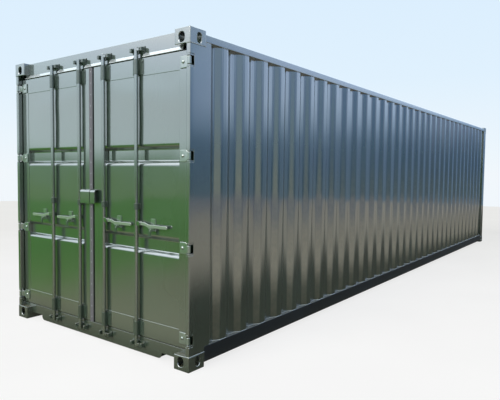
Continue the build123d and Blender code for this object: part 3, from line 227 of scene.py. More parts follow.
# Corner castings: eight hollow cast steel blocks that carry the container when it is
# stacked or lifted. They are sand cast, so the skin is grainy and every edge is rounded.
def enamel(name, shade, grain_depth, coat_roughness, grain=3.0, wave_depth=0.0, dust_top=0.3,
           painted_reflection=0.0, gloss=1.0):
    """Machine enamel sprayed on steel: even colour under a wet-looking coat, which shows the
    grain of the steel (mm apart) and slow waves in the sheet, both with their depths in metres.
    Dust lies pale on ledges and near the ground, up to dust_top, and painted_reflection is how
    much pale painted reflection of the lit ground lies low on the slopes that face forwards."""
    made = bpy.data.materials.new(name)
    made.use_nodes = True
    tree = made.node_tree
    tree.nodes.clear()
    at = add_node(tree, "ShaderNodeTexCoord").outputs
    here = at["Object"]
    patches = add_node(tree, "ShaderNodeTexNoise",
                       inputs={"Vector": here, "Scale": 1.6, "Detail": 3.0})
    tone = add_node(tree, "ShaderNodeMapRange", inputs={
        "Value": patches, "From Min": 0.3, "From Max": 0.7, "To Min": 0.9, "To Max": 1.12})
    tinted = add_node(tree, "ShaderNodeVectorMath", {"operation": "SCALE"},
                      {0: linear(shade)[:3], "Scale": tone})
    up = add_node(tree, "ShaderNodeSeparateXYZ", inputs={0: here}).outputs["Z"]
    facing = add_node(tree, "ShaderNodeSeparateXYZ", inputs={0: at["Normal"]}).outputs
    low = add_node(tree, "ShaderNodeMapRange", inputs={
        "Value": up, "From Max": dust_top, "To Min": 0.06, "To Max": 0.0})
    below_top = add_node(tree, "ShaderNodeMapRange", inputs={
        "Value": up, "From Min": 0.2, "From Max": 1.5, "To Min": 0.3, "To Max": 0.0})
    level = add_node(tree, "ShaderNodeMapRange", inputs={"Value": facing["Z"], "From Min": 0.8})
    ledge = add_node(tree, MATH, {"operation": "MULTIPLY"},
                     {0: level, 1: below_top})
    # Painted reflection: the slopes that face forwards are mixed towards the pale ground colour,
    # fading out between 1.1 and 2 m up.
    forward_reflection = add_node(tree, "ShaderNodeMapRange", SMOOTH, {
        "Value": facing["Y"], "From Min": -0.2, "From Max": -0.45, "To Max": painted_reflection})
    reflection_fade = add_node(tree, "ShaderNodeMapRange", SMOOTH, {
        "Value": up, "From Min": 1.1, "From Max": 2.0, "To Min": 1.0, "To Max": 0.0})
    slope_reflection = add_node(tree, MATH, {"operation": "MULTIPLY"},
                        {0: forward_reflection, 1: reflection_fade})
    ledge_dust_and_reflection = add_node(tree, MATH, {"operation": "MAXIMUM"},
                      {0: ledge, 1: slope_reflection})
    dust_and_reflection = add_node(tree, MATH, {"operation": "MAXIMUM"}, {0: ledge_dust_and_reflection, 1: low})
    # Dust and the painted reflection gather in specks and smears about 45 mm across.
    specks = add_node(tree, "ShaderNodeTexNoise",
                      inputs={"Vector": here, "Scale": 22.0, "Detail": 4.0})
    uneven = add_node(tree, "ShaderNodeMapRange", inputs={
        "Value": specks, "From Min": 0.25, "From Max": 0.75, "To Min": 0.7, "To Max": 1.3})
    dust_and_painted_reflection = add_node(tree, MATH, {"operation": "MULTIPLY", "use_clamp": True},
                    {0: dust_and_reflection, 1: uneven})
    colour = add_node(tree, "ShaderNodeMix", COLOURS,
                      {"Factor": dust_and_painted_reflection, 6: tinted, 7: linear("#8f8a72")})
    grit = add_node(tree, "ShaderNodeTexNoise",
                    inputs={"Vector": here, "Scale": 1000.0 / grain, "Detail": 2.0})
    waves = add_node(tree, "ShaderNodeTexNoise",
                     inputs={"Vector": here, "Scale": 2.4, "Detail": 1.0})
    swell = add_node(tree, "ShaderNodeBump", inputs={"Height": waves, "Distance": wave_depth})
    skin = add_node(tree, "ShaderNodeBump",
                    inputs={"Height": grit, "Distance": grain_depth, "Normal": swell})
    matt = add_node(tree, "ShaderNodeMapRange",
                    inputs={"Value": patches, "To Min": 0.3, "To Max": 0.5})
    wet = add_node(tree, "ShaderNodeMapRange",
                   inputs={"Value": ledge, "From Max": 0.3, "To Min": gloss, "To Max": 0.1})
    paint = add_node(tree, "ShaderNodeBsdfPrincipled", inputs={
        "Base Color": colour.outputs[2], "Roughness": matt, "IOR": 1.5,
        "Normal": skin, "Coat Weight": wet, "Coat Roughness": coat_roughness,
        "Coat IOR": 2.5, "Coat Normal": skin})
    add_node(tree, "ShaderNodeOutputMaterial", inputs={"Surface": paint})
    return made


def baked(obj):
    """Keep what the modifiers make as the object's own mesh, and remove them."""
    graph = bpy.context.evaluated_depsgraph_get()
    obj.data = bpy.data.meshes.new_from_object(obj.evaluated_get(graph), depsgraph=graph)
    obj.modifiers.clear()


def settle(obj, body, nodes=()):
    """Give a finished piece its body, and hide the CAD nodes that it stands for."""
    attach(obj, body)
    if nodes:
        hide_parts(*nodes)


def rounded(node, body, material, radius, segments=2, rings=False):
    """Copy a CAD node with its facets merged and its edges rounded, and show it instead. Where
    flats are closed rings round an opening, the facets of the CAD mesh stay as they are."""
    shape = bmesh.new()
    shape.from_mesh(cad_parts[node].data)
    bmesh.ops.remove_doubles(shape, verts=shape.verts, dist=1e-5)
    if not rings:
        bmesh.ops.dissolve_limit(shape, angle_limit=math.radians(1),
                                 verts=shape.verts, edges=shape.edges)
    mesh = bpy.data.meshes.new(node + "_rounded")
    shape.to_mesh(mesh)
    shape.free()
    mesh.materials.clear()
    mesh.materials.append(material)
    mesh.shade_smooth()
    mesh.set_sharp_from_angle(angle=math.radians(30))
    copy = bpy.data.objects.new(node + "_rounded", mesh)
    bpy.context.collection.objects.link(copy)
    edge = copy.modifiers.new("edge", "BEVEL")
    edge.width = radius
    edge.segments = segments
    edge.limit_method = "ANGLE"
    edge.angle_limit = math.radians(30)
    edge.use_clamp_overlap = False
    edge.harden_normals = True
    if rings:
        flats = copy.modifiers.new("flats", "WEIGHTED_NORMAL")
        flats.mode = "FACE_AREA"
        flats.keep_sharp = True
    baked(copy)
    settle(copy, body, [node])
    return copy


PAINT = "#26382d"
cast_paint = enamel("enamel_on_cast_steel", PAINT, 0.0006, 0.12, grain=4.0)
for node in ("top_castings", "bottom_castings"):
    rounded(node, "frame", cast_paint, 0.0035, rings=True)


# Posts, rails, header and sills: mild steel plate, rolled or pressed to shape, welded end to
# end between the castings. The folds are about as round as the plate is thick.
plate_paint = enamel("enamel_on_pressed_plate", PAINT, 0.00006, 0.06, wave_depth=0.0012)
for node in ("door_post_left", "door_post_right", "far_posts", "door_header"):
    rounded(node, "frame", plate_paint, 0.002)
for node in ("top_rails", "far_header"):
    rounded(node, "frame", plate_paint, 0.0012)
for node in ("far_sill", "door_sill"):
    rounded(node, "frame", plate_paint, 0.003, 3)
# Low along the sides the road has taken the shine off the enamel, and the rails are painted
# near-black blue as painted shade.
dull_shaded_paint = enamel("enamel_scoured_by_the_road", "#0f1920", 0.00012, 0.16,
                    wave_depth=0.0012, dust_top=0.1, gloss=0.25)
rounded("bottom_rails", "frame", dull_shaded_paint, 0.003, 3)
# The ledge over the doors is painted pale grey, a painted reflection of the bright sky, so it
# shines almost white.
sky_reflection_paint = enamel("enamel_chalked_by_rain", "#a3abae", 0.00006, 0.08)
rounded("drip_ledge", "frame", sky_reflection_paint, 0.0024, 3)
rounded("cross_members", "frame", plate_paint, 0.002, 1)


# Side walls and far wall: 2 mm sheet pressed into tall corrugations and welded all round.
# Pressing leaves soft bends and slow waves that make each flat mirror a little differently.
def geometry_tree(name, sizes):
    """An empty Geometry Nodes tree with a named input for each size and one for the finish."""
    tree = bpy.data.node_groups.new(name, "GeometryNodeTree")
    tree.interface.new_socket("Geometry", in_out="INPUT", socket_type="NodeSocketGeometry")
    for label, value in sizes.items():
        kind = "NodeSocketInt" if isinstance(value, int) else "NodeSocketFloat"
        tree.interface.new_socket(label, in_out="INPUT", socket_type=kind).default_value = value
    tree.interface.new_socket("Finish", in_out="INPUT", socket_type="NodeSocketMaterial")
    tree.interface.new_socket("Geometry", in_out="OUTPUT", socket_type="NodeSocketGeometry")
    return tree, add_node(tree, "NodeGroupInput").outputs


def close_tree(tree, shape, finish):
    """End a tree: real geometry in place of instances, and the finish on it."""
    real = add_node(tree, "GeometryNodeRealizeInstances", inputs={0: shape})
    done = add_node(tree, "GeometryNodeSetMaterial", inputs={"Geometry": real, "Material": finish})
    add_node(tree, "NodeGroupOutput", inputs={0: done})


def grow(obj, tree, material, **sizes):
    """Put a tree on an object and set its inputs by identifier, spaces written as _."""
    maker = obj.modifiers.new("maker", "NODES")
    maker.node_group = tree
    for item in tree.interface.items_tree:
        if item.in_out == "INPUT" and item.name.replace(" ", "_") in sizes:
            maker[item.identifier] = sizes[item.name.replace(" ", "_")]
        if item.in_out == "INPUT" and item.name == "Finish":
            maker[item.identifier] = material


# The tree lays the sheet flat: X runs along the row of pressings, Y along each pressing, and
# Z points out of the sheet. Round is the part of the slope that a bend takes up, Until is how
# far past the first pressing the row goes on, and the sheet is raised before Flange. Pressings
# go as far as Reach from the middle line, and rise over the Runout there.
NO_LIMIT = 99.0
sheet_tree, size = geometry_tree("pressed_sheet", {
    "Along": 0.0, "Length": 9.4, "Columns": 1164, "Level": 0.0, "Width": 2.3, "Rows": 27,
    "First": 0.0, "Until": NO_LIMIT, "Pitch": 0.27, "Flat": 0.09, "Slope": 0.07,
    "Crest_Round": 0.3, "Root_Round": 0.3, "Flange": -NO_LIMIT, "Reach": NO_LIMIT,
    "Runout": 0.03, "Base": 0.0, "Rise": 0.036, "Wave": 0.0011})
flat_sheet = add_node(sheet_tree, "GeometryNodeMeshGrid", inputs={
    "Size X": size["Length"], "Size Y": size["Width"],
    "Vertices X": size["Columns"], "Vertices Y": size["Rows"]})
place = add_node(sheet_tree, "GeometryNodeInputPosition")
local = add_node(sheet_tree, "ShaderNodeSeparateXYZ", inputs={0: place}).outputs
run = add_node(sheet_tree, MATH, {"operation": "ADD"}, {0: local["X"], 1: size["Along"]})
level = add_node(sheet_tree, MATH, {"operation": "ADD"}, {0: local["Y"], 1: size["Level"]})
past_first = add_node(sheet_tree, MATH, {"operation": "SUBTRACT"}, {0: run, 1: size["First"]})
offset = add_node(sheet_tree, MATH, {"operation": "MINIMUM"},
                  {0: past_first, 1: size["Until"]})
half_pitch = add_node(sheet_tree, MATH, {"operation": "MULTIPLY"}, {0: size["Pitch"], 1: 0.5})
low_pitch = add_node(sheet_tree, MATH, {"operation": "MULTIPLY"}, {0: size["Pitch"], 1: -0.5})
nearest = add_node(sheet_tree, MATH, {"operation": "WRAP"},
                   {0: offset, 1: half_pitch, 2: low_pitch})
distance = add_node(sheet_tree, MATH, {"operation": "ABSOLUTE"}, {0: nearest})
foot = add_node(sheet_tree, MATH, {"operation": "MULTIPLY_ADD"},
                {0: size["Flat"], 1: 0.5, 2: size["Slope"]})
inside = add_node(sheet_tree, MATH, {"operation": "SUBTRACT"}, {0: foot, 1: distance})
flange_foot = add_node(sheet_tree, MATH, {"operation": "ADD"},
                       {0: size["Flange"], 1: size["Slope"]})
at_flange = add_node(sheet_tree, MATH, {"operation": "SUBTRACT"}, {0: flange_foot, 1: run})
nearer = add_node(sheet_tree, MATH, {"operation": "MAXIMUM"}, {0: inside, 1: at_flange})
climb = add_node(sheet_tree, MATH, {"operation": "DIVIDE"}, {0: nearer, 1: size["Slope"]})
sideways = add_node(sheet_tree, MATH, {"operation": "ABSOLUTE"}, {0: level})
left_over = add_node(sheet_tree, MATH, {"operation": "SUBTRACT"},
                     {0: size["Reach"], 1: sideways})
end_climb = add_node(sheet_tree, MATH, {"operation": "DIVIDE"},
                     {0: left_over, 1: size["Runout"]})
lower = add_node(sheet_tree, MATH, {"operation": "MINIMUM"}, {0: climb, 1: end_climb})
crest = add_node(sheet_tree, MATH, {"operation": "SMOOTH_MIN"},
                 {0: lower, 1: 1.0, 2: size["Crest_Round"]})
folded = add_node(sheet_tree, MATH, {"operation": "SMOOTH_MAX"},
                  {0: crest, 1: 0.0, 2: size["Root_Round"]})
# Slow waves about a metre long and up to Wave deep, which die out at the welded edges.
stretch = add_node(sheet_tree, "ShaderNodeCombineXYZ", inputs={"X": run, "Y": level, "Z": folded})
coarse = add_node(sheet_tree, "ShaderNodeVectorMath", {"operation": "MULTIPLY"},
                  {0: stretch, 1: (3.1, 1.3, 0.4)})
swell = add_node(sheet_tree, "ShaderNodeTexNoise",
                 inputs={"Vector": coarse, "Scale": 1.0, "Detail": 0.0})
size_x = add_node(sheet_tree, MATH, {"operation": "ABSOLUTE"}, {0: local["X"]})
size_y = add_node(sheet_tree, MATH, {"operation": "ABSOLUTE"}, {0: local["Y"]})
edge_x = add_node(sheet_tree, MATH, {"operation": "MULTIPLY"}, {0: size["Length"], 1: 0.5})
edge_y = add_node(sheet_tree, MATH, {"operation": "MULTIPLY"}, {0: size["Width"], 1: 0.5})
gap_x = add_node(sheet_tree, MATH, {"operation": "SUBTRACT"}, {0: edge_x, 1: size_x})
gap_y = add_node(sheet_tree, MATH, {"operation": "SUBTRACT"}, {0: edge_y, 1: size_y})
rim = add_node(sheet_tree, MATH, {"operation": "MINIMUM"}, {0: gap_x, 1: gap_y})
free = add_node(sheet_tree, "ShaderNodeMapRange", inputs={"Value": rim, "From Max": 0.12})
signed = add_node(sheet_tree, "ShaderNodeMapRange", {"clamp": False},
                  {"Value": swell, "From Min": 0.25, "From Max": 0.75, "To Min": -1.0})
calm = add_node(sheet_tree, MATH, {"operation": "MULTIPLY"}, {0: signed, 1: free})
wavy = add_node(sheet_tree, MATH, {"operation": "MULTIPLY_ADD"},
                {0: calm, 1: size["Wave"], 2: size["Base"]})
out = add_node(sheet_tree, MATH, {"operation": "MULTIPLY_ADD"},
               {0: folded, 1: size["Rise"], 2: wavy})
pressed = add_node(sheet_tree, "ShaderNodeCombineXYZ", inputs={"X": run, "Y": level, "Z": out})
moved = add_node(sheet_tree, "GeometryNodeSetPosition",
                 inputs={"Geometry": flat_sheet, "Position": pressed})
close_tree(sheet_tree, moved, size["Finish"])


def pressed_sheet(name, along, level, out, material, thickness=0.002, **sizes):
    """Sheet made by the tree, given its gauge and stood up: the three directions say where its
    X, Y and Z point in the frame."""
    mesh = bpy.data.meshes.new(name)
    mesh.materials.append(material)
    sheet = bpy.data.objects.new(name, mesh)
    bpy.context.collection.objects.link(sheet)
    grow(sheet, sheet_tree, material, **sizes)
    gauge = sheet.modifiers.new("gauge", "SOLIDIFY")
    gauge.thickness = thickness
    gauge.offset = -1.0
    baked(sheet)
    stand = Matrix((along, level, out)).transposed().to_4x4()
    sheet.data.transform(stand)
    if stand.determinant() < 0:
        sheet.data.flip_normals()
    sheet.data.shade_smooth()
    sheet.data.set_sharp_from_angle(angle=math.radians(50))
    return sheet


WALL_LOW, WALL_HIGH = 0.160, 2.506
WALL_OUT, WALL_IN, WALL_HALF = 1.210, 1.174, 4.699
FIRST_PRESSING, LAST_PRESSING, PRESSINGS, WALL_FLAT, WALL_SLOPE = -4.4625, 4.482, 33, 0.072, 0.068
WALL_FLANGE = -4.637
# The walls' forward slopes get a pale painted reflection of the lit ground, low down.
wall_paint = enamel("enamel_on_pressed_sheet", PAINT, 0.00004, 0.07, dust_top=0.45, painted_reflection=0.24)
upright = {"Level": (WALL_LOW + WALL_HIGH) / 2, "Width": WALL_HIGH - WALL_LOW, "Rows": 27}
wall_pitch = (LAST_PRESSING - FIRST_PRESSING) / (PRESSINGS - 1)
for word, side in (("left", -1), ("right", 1)):
    wall = pressed_sheet("pressed_side_wall_" + word, (0, 1, 0), (0, 0, 1), (side, 0, 0),
                         wall_paint, Length=2 * WALL_HALF, Columns=1164, First=FIRST_PRESSING,
                         Until=(PRESSINGS - 0.5) * wall_pitch, Pitch=wall_pitch, Flat=WALL_FLAT,
                         Slope=WALL_SLOPE, Flange=WALL_FLANGE, Base=WALL_IN,
                         Rise=WALL_OUT - WALL_IN, **upright)
    settle(wall, "frame", ["side_wall_" + word])
FAR_OUT, FAR_IN, FAR_EDGE, FAR_PRESSINGS = 4.869, 4.824, 1.057, 8
far_pitch = 2 * FAR_EDGE / FAR_PRESSINGS
wall = pressed_sheet("pressed_far_wall", (-1, 0, 0), (0, 0, 1), (0, 1, 0), wall_paint,
                     Length=2 * FAR_EDGE, Columns=529, First=far_pitch / 2, Pitch=far_pitch,
                     Flat=0.110, Slope=0.018, Base=FAR_IN, Rise=FAR_OUT - FAR_IN, **upright)
settle(wall, "frame", ["far_wall"])


# Welds: hand-laid fillet beads, 7 mm wide with a ripple every 5 mm, where the castings meet
# the posts and rails, and along the folds of the side walls where they meet both rails.
bead_tree, size = geometry_tree("weld_bead", {"Radius": 0.0035, "Ripple": 0.005, "Lump": 0.14})
path = add_node(bead_tree, "GeometryNodeMeshToCurve", inputs={"Mesh": size["Geometry"]})
stride = add_node(bead_tree, MATH, {"operation": "MULTIPLY"}, {0: size["Ripple"], 1: 0.5})
even = add_node(bead_tree, "GeometryNodeResampleCurve", {"mode": "LENGTH"},
                {"Curve": path, "Length": stride})
number = add_node(bead_tree, "GeometryNodeInputIndex")
ridge = add_node(bead_tree, MATH, {"operation": "MODULO"}, {0: number, 1: 2.0})
puddle = add_node(bead_tree, "ShaderNodeTexNoise", inputs={"Scale": 60.0, "Detail": 1.0})
uneven = add_node(bead_tree, "ShaderNodeMapRange", inputs={
    "Value": puddle, "From Min": 0.3, "From Max": 0.7, "To Min": 0.85, "To Max": 1.1})
swollen = add_node(bead_tree, MATH, {"operation": "MULTIPLY_ADD"},
                   {0: ridge, 1: size["Lump"], 2: uneven})
ring = add_node(bead_tree, "GeometryNodeCurvePrimitiveCircle",
                inputs={"Resolution": 8, "Radius": size["Radius"]})
bead = add_node(bead_tree, "GeometryNodeCurveToMesh", inputs={
    "Curve": even, "Profile Curve": ring, "Scale": swollen, "Fill Caps": True})
close_tree(bead_tree, bead, size["Finish"])


def welded(name, runs, body, material, **sizes):
    """Weld beads along the given runs of points, as one mesh on a body."""
    mesh = bpy.data.meshes.new(name)
    points, links = [], []
    for run in runs:
        links += [(len(points) + step, len(points) + step + 1) for step in range(len(run) - 1)]
        points += run
    mesh.from_pydata(points, links, [])
    mesh.materials.append(material)
    bead = bpy.data.objects.new(name, mesh)
    bpy.context.collection.objects.link(bead)
    grow(bead, bead_tree, material, **sizes)
    baked(bead)
    bead.data.shade_smooth()
    settle(bead, body)
    return bead


weld_paint = enamel("enamel_on_weld_beads", PAINT, 0.0001, 0.15)
# At each casting one bead runs across the end frame and round its corner to the rail, and a
# short one stands on the rail's end.
FRAME_FACE, FRAME_FRONT, CORNER_ROUND, CASTING_END, RAIL_FACE = 1.216, 4.874, 0.009, 4.699, 1.214
CASTING_EDGES = (0.1185, 2.4725)
DOOR_END, FAR_END = (-1, 1.176), (1, 1.062)
RAIL_ENDS = ((0.040, 0.112), (2.510, 2.562))
corner = [(FRAME_FACE - CORNER_ROUND * (1 - math.sin(turn)),
           FRAME_FRONT - CORNER_ROUND * (1 - math.cos(turn)))
          for turn in [math.radians(15 * step) for step in range(7)]]
seams = []
for side in (-1, 1):
    for z in CASTING_EDGES:
        for end, inner in (DOOR_END, FAR_END):
            seams.append([(side * x, end * y, z) for x, y in [(inner, FRAME_FRONT)] + corner
                          + [(FRAME_FACE, CASTING_END)]])
    for end in (-1, 1):
        for rail_end in RAIL_ENDS:
            seams.append([(side * RAIL_FACE, end * CASTING_END, z) for z in rail_end])
welded("casting_welds", seams, "frame", weld_paint)
LAST_FOLD, BEAD_LIFT = 4.694, 0.0005
folds = [(WALL_OUT, WALL_FLANGE), (WALL_IN, WALL_FLANGE + WALL_SLOPE)]
for number in range(PRESSINGS):
    middle = FIRST_PRESSING + number * wall_pitch
    for way in (-1, 1):
        ends = [(WALL_IN, middle + way * (WALL_FLAT / 2 + WALL_SLOPE)),
                (WALL_OUT, middle + way * WALL_FLAT / 2)]
        folds += ends[::-way]
folds.append((WALL_IN, LAST_FOLD))
for word, side in (("left", -1), ("right", 1)):
    seams = [[(side * x, y, z) for x, y in folds]
             for z in (WALL_LOW + BEAD_LIFT, WALL_HIGH - BEAD_LIFT)]
    welded("wall_welds_" + word, seams, "frame", weld_paint, Radius=0.003, Ripple=0.012)


# Roof: 2 mm sheets with wide shallow swages pressed upwards, so that rain runs off and a
# person can walk on it. The swages are soft mounds that stop short of the side rails.
ROOF_Z, ROOF_HALF, SWAGES, SWAGE_RISE = 2.566, 1.184, 44, 0.016
swage_pitch = 2 * WALL_HALF / SWAGES
# Sun and rain have dulled the enamel, so the sky shows in it only as a broad soft sheen.
roof_paint = enamel("enamel_dulled_by_weather", PAINT, 0.00006, 0.25, gloss=0.3)
roof = pressed_sheet("pressed_roof", (0, 1, 0), (1, 0, 0), (0, 0, 1), roof_paint,
                     Length=2 * WALL_HALF, Columns=529, Width=2 * ROOF_HALF, Rows=81,
                     First=swage_pitch / 2, Pitch=swage_pitch, Flat=0.070, Slope=0.024,
                     Crest_Round=0.9, Root_Round=0.5, Reach=1.114, Runout=0.045,
                     Base=ROOF_Z + 0.002, Rise=SWAGE_RISE, Wave=0.0015)
settle(roof, "frame", ["roof"])


# Floor: 28 mm marine plywood boards laid in two rows on the cross members, with their edges
# eased and self-tapping screws sunk along every member.
FLOOR_LOW, FLOOR_HIGH, FLOOR_FRONT, FLOOR_BACK, FLOOR_HALF = 0.1505, 0.1785, -4.727, 4.697, 1.164
plywood = bpy.data.materials.new("marine_plywood")
plywood.use_nodes = True
tree = plywood.node_tree
tree.nodes.clear()
here = add_node(tree, "ShaderNodeTexCoord").outputs["Object"]
# Rotary-cut hardwood face: long streaks along the board, about 6 mm apart, worn pale.
grain_way = add_node(tree, "ShaderNodeMapping", inputs={"Vector": here, "Scale": (1.0, 0.06, 1.0)})
streaks = add_node(tree, "ShaderNodeTexNoise",
                   inputs={"Vector": grain_way, "Scale": 160.0, "Detail": 5.0, "Distortion": 0.4})
shade = add_node(tree, "ShaderNodeValToRGB", {"stops": [
    (0.3, "#6b4a30"), (0.5, "#86613f"), (0.7, "#9c7852")]},
    {"Fac": streaks})
dents = add_node(tree, "ShaderNodeBump", inputs={"Height": streaks, "Distance": 0.0004})
board = add_node(tree, "ShaderNodeBsdfPrincipled", inputs={
    "Base Color": shade, "Roughness": 0.62, "Normal": dents})
add_node(tree, "ShaderNodeOutputMaterial", inputs={"Surface": board})
shape = bmesh.new()
ROWS, JOINT = 4, 0.0015
length = (FLOOR_BACK - FLOOR_FRONT) / ROWS
boards = [(side * FLOOR_HALF / 2, FLOOR_FRONT + (row + 0.5) * length, FLOOR_HALF, length)
          for row in range(ROWS) for side in (-1, 1)]
# One narrow board fills the floor between the far posts.
SILL_BOARD = (0.0, 4.7525, 2.110, 0.109)
boards.append(SILL_BOARD)
for x, y, wide, long in boards:
    matrix = (Matrix.Translation((x, y, (FLOOR_LOW + FLOOR_HIGH) / 2))
              @ Matrix.Diagonal((wide - 2 * JOINT, long - 2 * JOINT, FLOOR_HIGH - FLOOR_LOW, 1.0)))
    bmesh.ops.create_cube(shape, size=1.0, matrix=matrix)
bmesh.ops.bevel(shape, geom=shape.edges[:], offset=0.0012, segments=2, affect="EDGES", profile=0.5)
mesh = bpy.data.meshes.new("plywood_boards")
shape.to_mesh(mesh)
shape.free()
mesh.materials.append(plywood)
floor_boards = bpy.data.objects.new("plywood_boards", mesh)
bpy.context.collection.objects.link(floor_boards)
settle(floor_boards, "frame", ["floor"])


def steel(name, shade, roughness, grain):
    """Bare or plated steel: a metal sheen, slightly uneven, with fine marks (mm apart)."""
    made = bpy.data.materials.new(name)
    made.use_nodes = True
    tree = made.node_tree
    tree.nodes.clear()
    here = add_node(tree, "ShaderNodeTexCoord").outputs["Object"]
    marks = add_node(tree, "ShaderNodeTexNoise",
                     inputs={"Vector": here, "Scale": 1000.0 / grain, "Detail": 3.0})
    tone = add_node(tree, "ShaderNodeMapRange",
                    inputs={"Value": marks, "To Min": 0.75, "To Max": 1.2})
    tinted = add_node(tree, "ShaderNodeVectorMath", {"operation": "SCALE"},
                      {0: linear(shade)[:3], "Scale": tone})
    rough = add_node(tree, "ShaderNodeMapRange", inputs={
        "Value": marks, "To Min": roughness - 0.08, "To Max": roughness + 0.08})
    metal = add_node(tree, "ShaderNodeBsdfPrincipled", inputs={
        "Base Color": tinted, "Metallic": 1.0, "Roughness": rough})
    add_node(tree, "ShaderNodeOutputMaterial", inputs={"Surface": metal})
    return made


def facing_points(name, places):
    """Loose points, each with the direction that the head of its screw or rivet faces."""
    mesh = bpy.data.meshes.new(name)
    mesh.from_pydata([place for place, way in places], [], [])
    ways = mesh.attributes.new("facing", "FLOAT_VECTOR", "POINT")
    for index, (place, way) in enumerate(places):
        ways.data[index].vector = way
    points = bpy.data.objects.new(name, mesh)
    bpy.context.collection.objects.link(points)
    return points


def fastener_tree(name, sides, crown):
    """Geometry Nodes: a washer and a head on every point, turned to its facing direction.
    A head with six sides is a hexagon, and one with a crown is a round rivet."""
    tree, size = geometry_tree(name, {
        "Head_Radius": 0.008, "Head_Height": 0.005, "Washer_Radius": 0.011})
    lift = add_node(tree, MATH, {"operation": "MULTIPLY"}, {0: size["Head_Height"], 1: 0.5})
    raised = add_node(tree, "ShaderNodeCombineXYZ", inputs={"Z": lift})
    if crown:
        ball = add_node(tree, "GeometryNodeMeshUVSphere",
                        inputs={"Segments": sides, "Rings": 8, "Radius": size["Head_Radius"]})
        flat = add_node(tree, MATH, {"operation": "DIVIDE"},
                        {0: size["Head_Height"], 1: size["Head_Radius"]})
        squash = add_node(tree, "ShaderNodeCombineXYZ", inputs={"X": 1.0, "Y": 1.0, "Z": flat})
        head = add_node(tree, "GeometryNodeTransform",
                        inputs={"Geometry": ball, "Scale": squash})
    else:
        prism = add_node(tree, "GeometryNodeMeshCylinder", inputs={
            "Vertices": sides, "Radius": size["Head_Radius"], "Depth": size["Head_Height"]})
        head = add_node(tree, "GeometryNodeTransform",
                        inputs={"Geometry": prism, "Translation": raised})
    rim = add_node(tree, "GeometryNodeMeshCylinder", inputs={
        "Vertices": 16, "Radius": size["Washer_Radius"], "Depth": 0.0024})
    both = add_node(tree, "GeometryNodeJoinGeometry")
    tree.links.new(rim.outputs[0], both.inputs[0])
    tree.links.new(head.outputs[0], both.inputs[0])
    way = add_node(tree, "GeometryNodeInputNamedAttribute", {"data_type": "FLOAT_VECTOR"},
                   {"Name": "facing"})
    turn = add_node(tree, "FunctionNodeAlignRotationToVector", {"axis": "Z"}, {"Vector": way})
    spread = add_node(tree, "GeometryNodeInstanceOnPoints", inputs={
        "Points": size["Geometry"], "Instance": both, "Rotation": turn})
    close_tree(tree, spread, size["Finish"])
    return tree


def fastened(name, tree, places, body, slot, material, **sizes):
    """One mesh of like fasteners on a body, made by their tree with the sizes given."""
    points = facing_points(name, places)
    points.data.materials.append(material)
    grow(points, tree, material, **sizes)
    baked(points)
    settle(points, body)
    return points


rivets = fastener_tree("round_heads", 16, True)
hexagons = fastener_tree("hex_heads", 6, False)
zinc = steel("zinc_plated_steel", "#a9adae", 0.42, 3.0)
LAST_MEMBER, MEMBERS, FLANGE_STEP, SUNK = 4.654, 31, 0.022, 0.0005
SCREW_LINES = (-1.12, -0.87, -0.62, -0.37, -0.06, 0.06, 0.37, 0.62, 0.87, 1.12)
members = [-LAST_MEMBER + index * 2 * LAST_MEMBER / (MEMBERS - 1) for index in range(MEMBERS)]
places = [((x, y + FLANGE_STEP, FLOOR_HIGH - SUNK), (0.0, 0.0, 1.0))
          for y in members[:-1] for x in SCREW_LINES]
fastened("floor_screws", rivets, places, "frame", "floor_boards", zinc,
         Head_Radius=0.006, Head_Height=0.0014, Washer_Radius=0.004)


# Door leaves: a frame of tube stiles and channel rails round a pressed panel. Two troughs
# across the panel stiffen it; their lower slopes face the sky and shine.
leaf_paint = enamel("enamel_on_door_frame", PAINT, 0.00005, 0.06, wave_depth=0.0012, dust_top=0.5)
panel_paint = enamel("enamel_on_door_panel", PAINT, 0.00004, 0.05, dust_top=0.6)
PANEL_Y, TROUGH_Y, PANEL_LOW, PANEL_HIGH = 4.826, 4.798, 0.300, 2.293
PANEL_INNER, PANEL_OUTER = 0.145, 1.065
for word, side in (("left", -1), ("right", 1)):
    rounded("door_frame_" + word, "door_" + word, leaf_paint, 0.0025, 3, rings=True)
    panel = pressed_sheet("pressed_door_panel_" + word, (0, 0, 1), (side, 0, 0), (0, -1, 0),
                          panel_paint, Along=(PANEL_LOW + PANEL_HIGH) / 2,
                          Length=PANEL_HIGH - PANEL_LOW, Columns=500,
                          Level=(PANEL_INNER + PANEL_OUTER) / 2,
                          Width=PANEL_OUTER - PANEL_INNER, Rows=25, First=0.931, Pitch=0.726,
                          Flat=0.092, Slope=0.024, Crest_Round=0.10, Root_Round=0.85,
                          Base=PANEL_Y, Rise=TROUGH_Y - PANEL_Y, Wave=0.0016)
    settle(panel, "door_" + word, ["door_panel_" + word])


# Door seals: black EPDM extrusion round each leaf, and a grey cover strip of PVC riveted to
# the left leaf's meeting edge, where it laps the gap.
def rubber(name, shade, roughness):
    """Moulded rubber or PVC: dull and even, with a soft sheen and a fine skin."""
    made = bpy.data.materials.new(name)
    made.use_nodes = True
    tree = made.node_tree
    tree.nodes.clear()
    here = add_node(tree, "ShaderNodeTexCoord").outputs["Object"]
    skin = add_node(tree, "ShaderNodeTexNoise",
                    inputs={"Vector": here, "Scale": 90.0, "Detail": 4.0})
    tone = add_node(tree, "ShaderNodeMapRange",
                    inputs={"Value": skin, "To Min": 0.8, "To Max": 1.2})
    tinted = add_node(tree, "ShaderNodeVectorMath", {"operation": "SCALE"},
                      {0: linear(shade)[:3], "Scale": tone})
    pores = add_node(tree, "ShaderNodeBump", inputs={"Height": skin, "Distance": 0.0003})
    body = add_node(tree, "ShaderNodeBsdfPrincipled", inputs={
        "Base Color": tinted, "Roughness": roughness, "Normal": pores})
    add_node(tree, "ShaderNodeOutputMaterial", inputs={"Surface": body})
    return made


black_rubber = rubber("epdm_rubber", "#26262b", 0.6)
grey_strip = rubber("grey_pvc_strip", "#5a5960", 0.5)
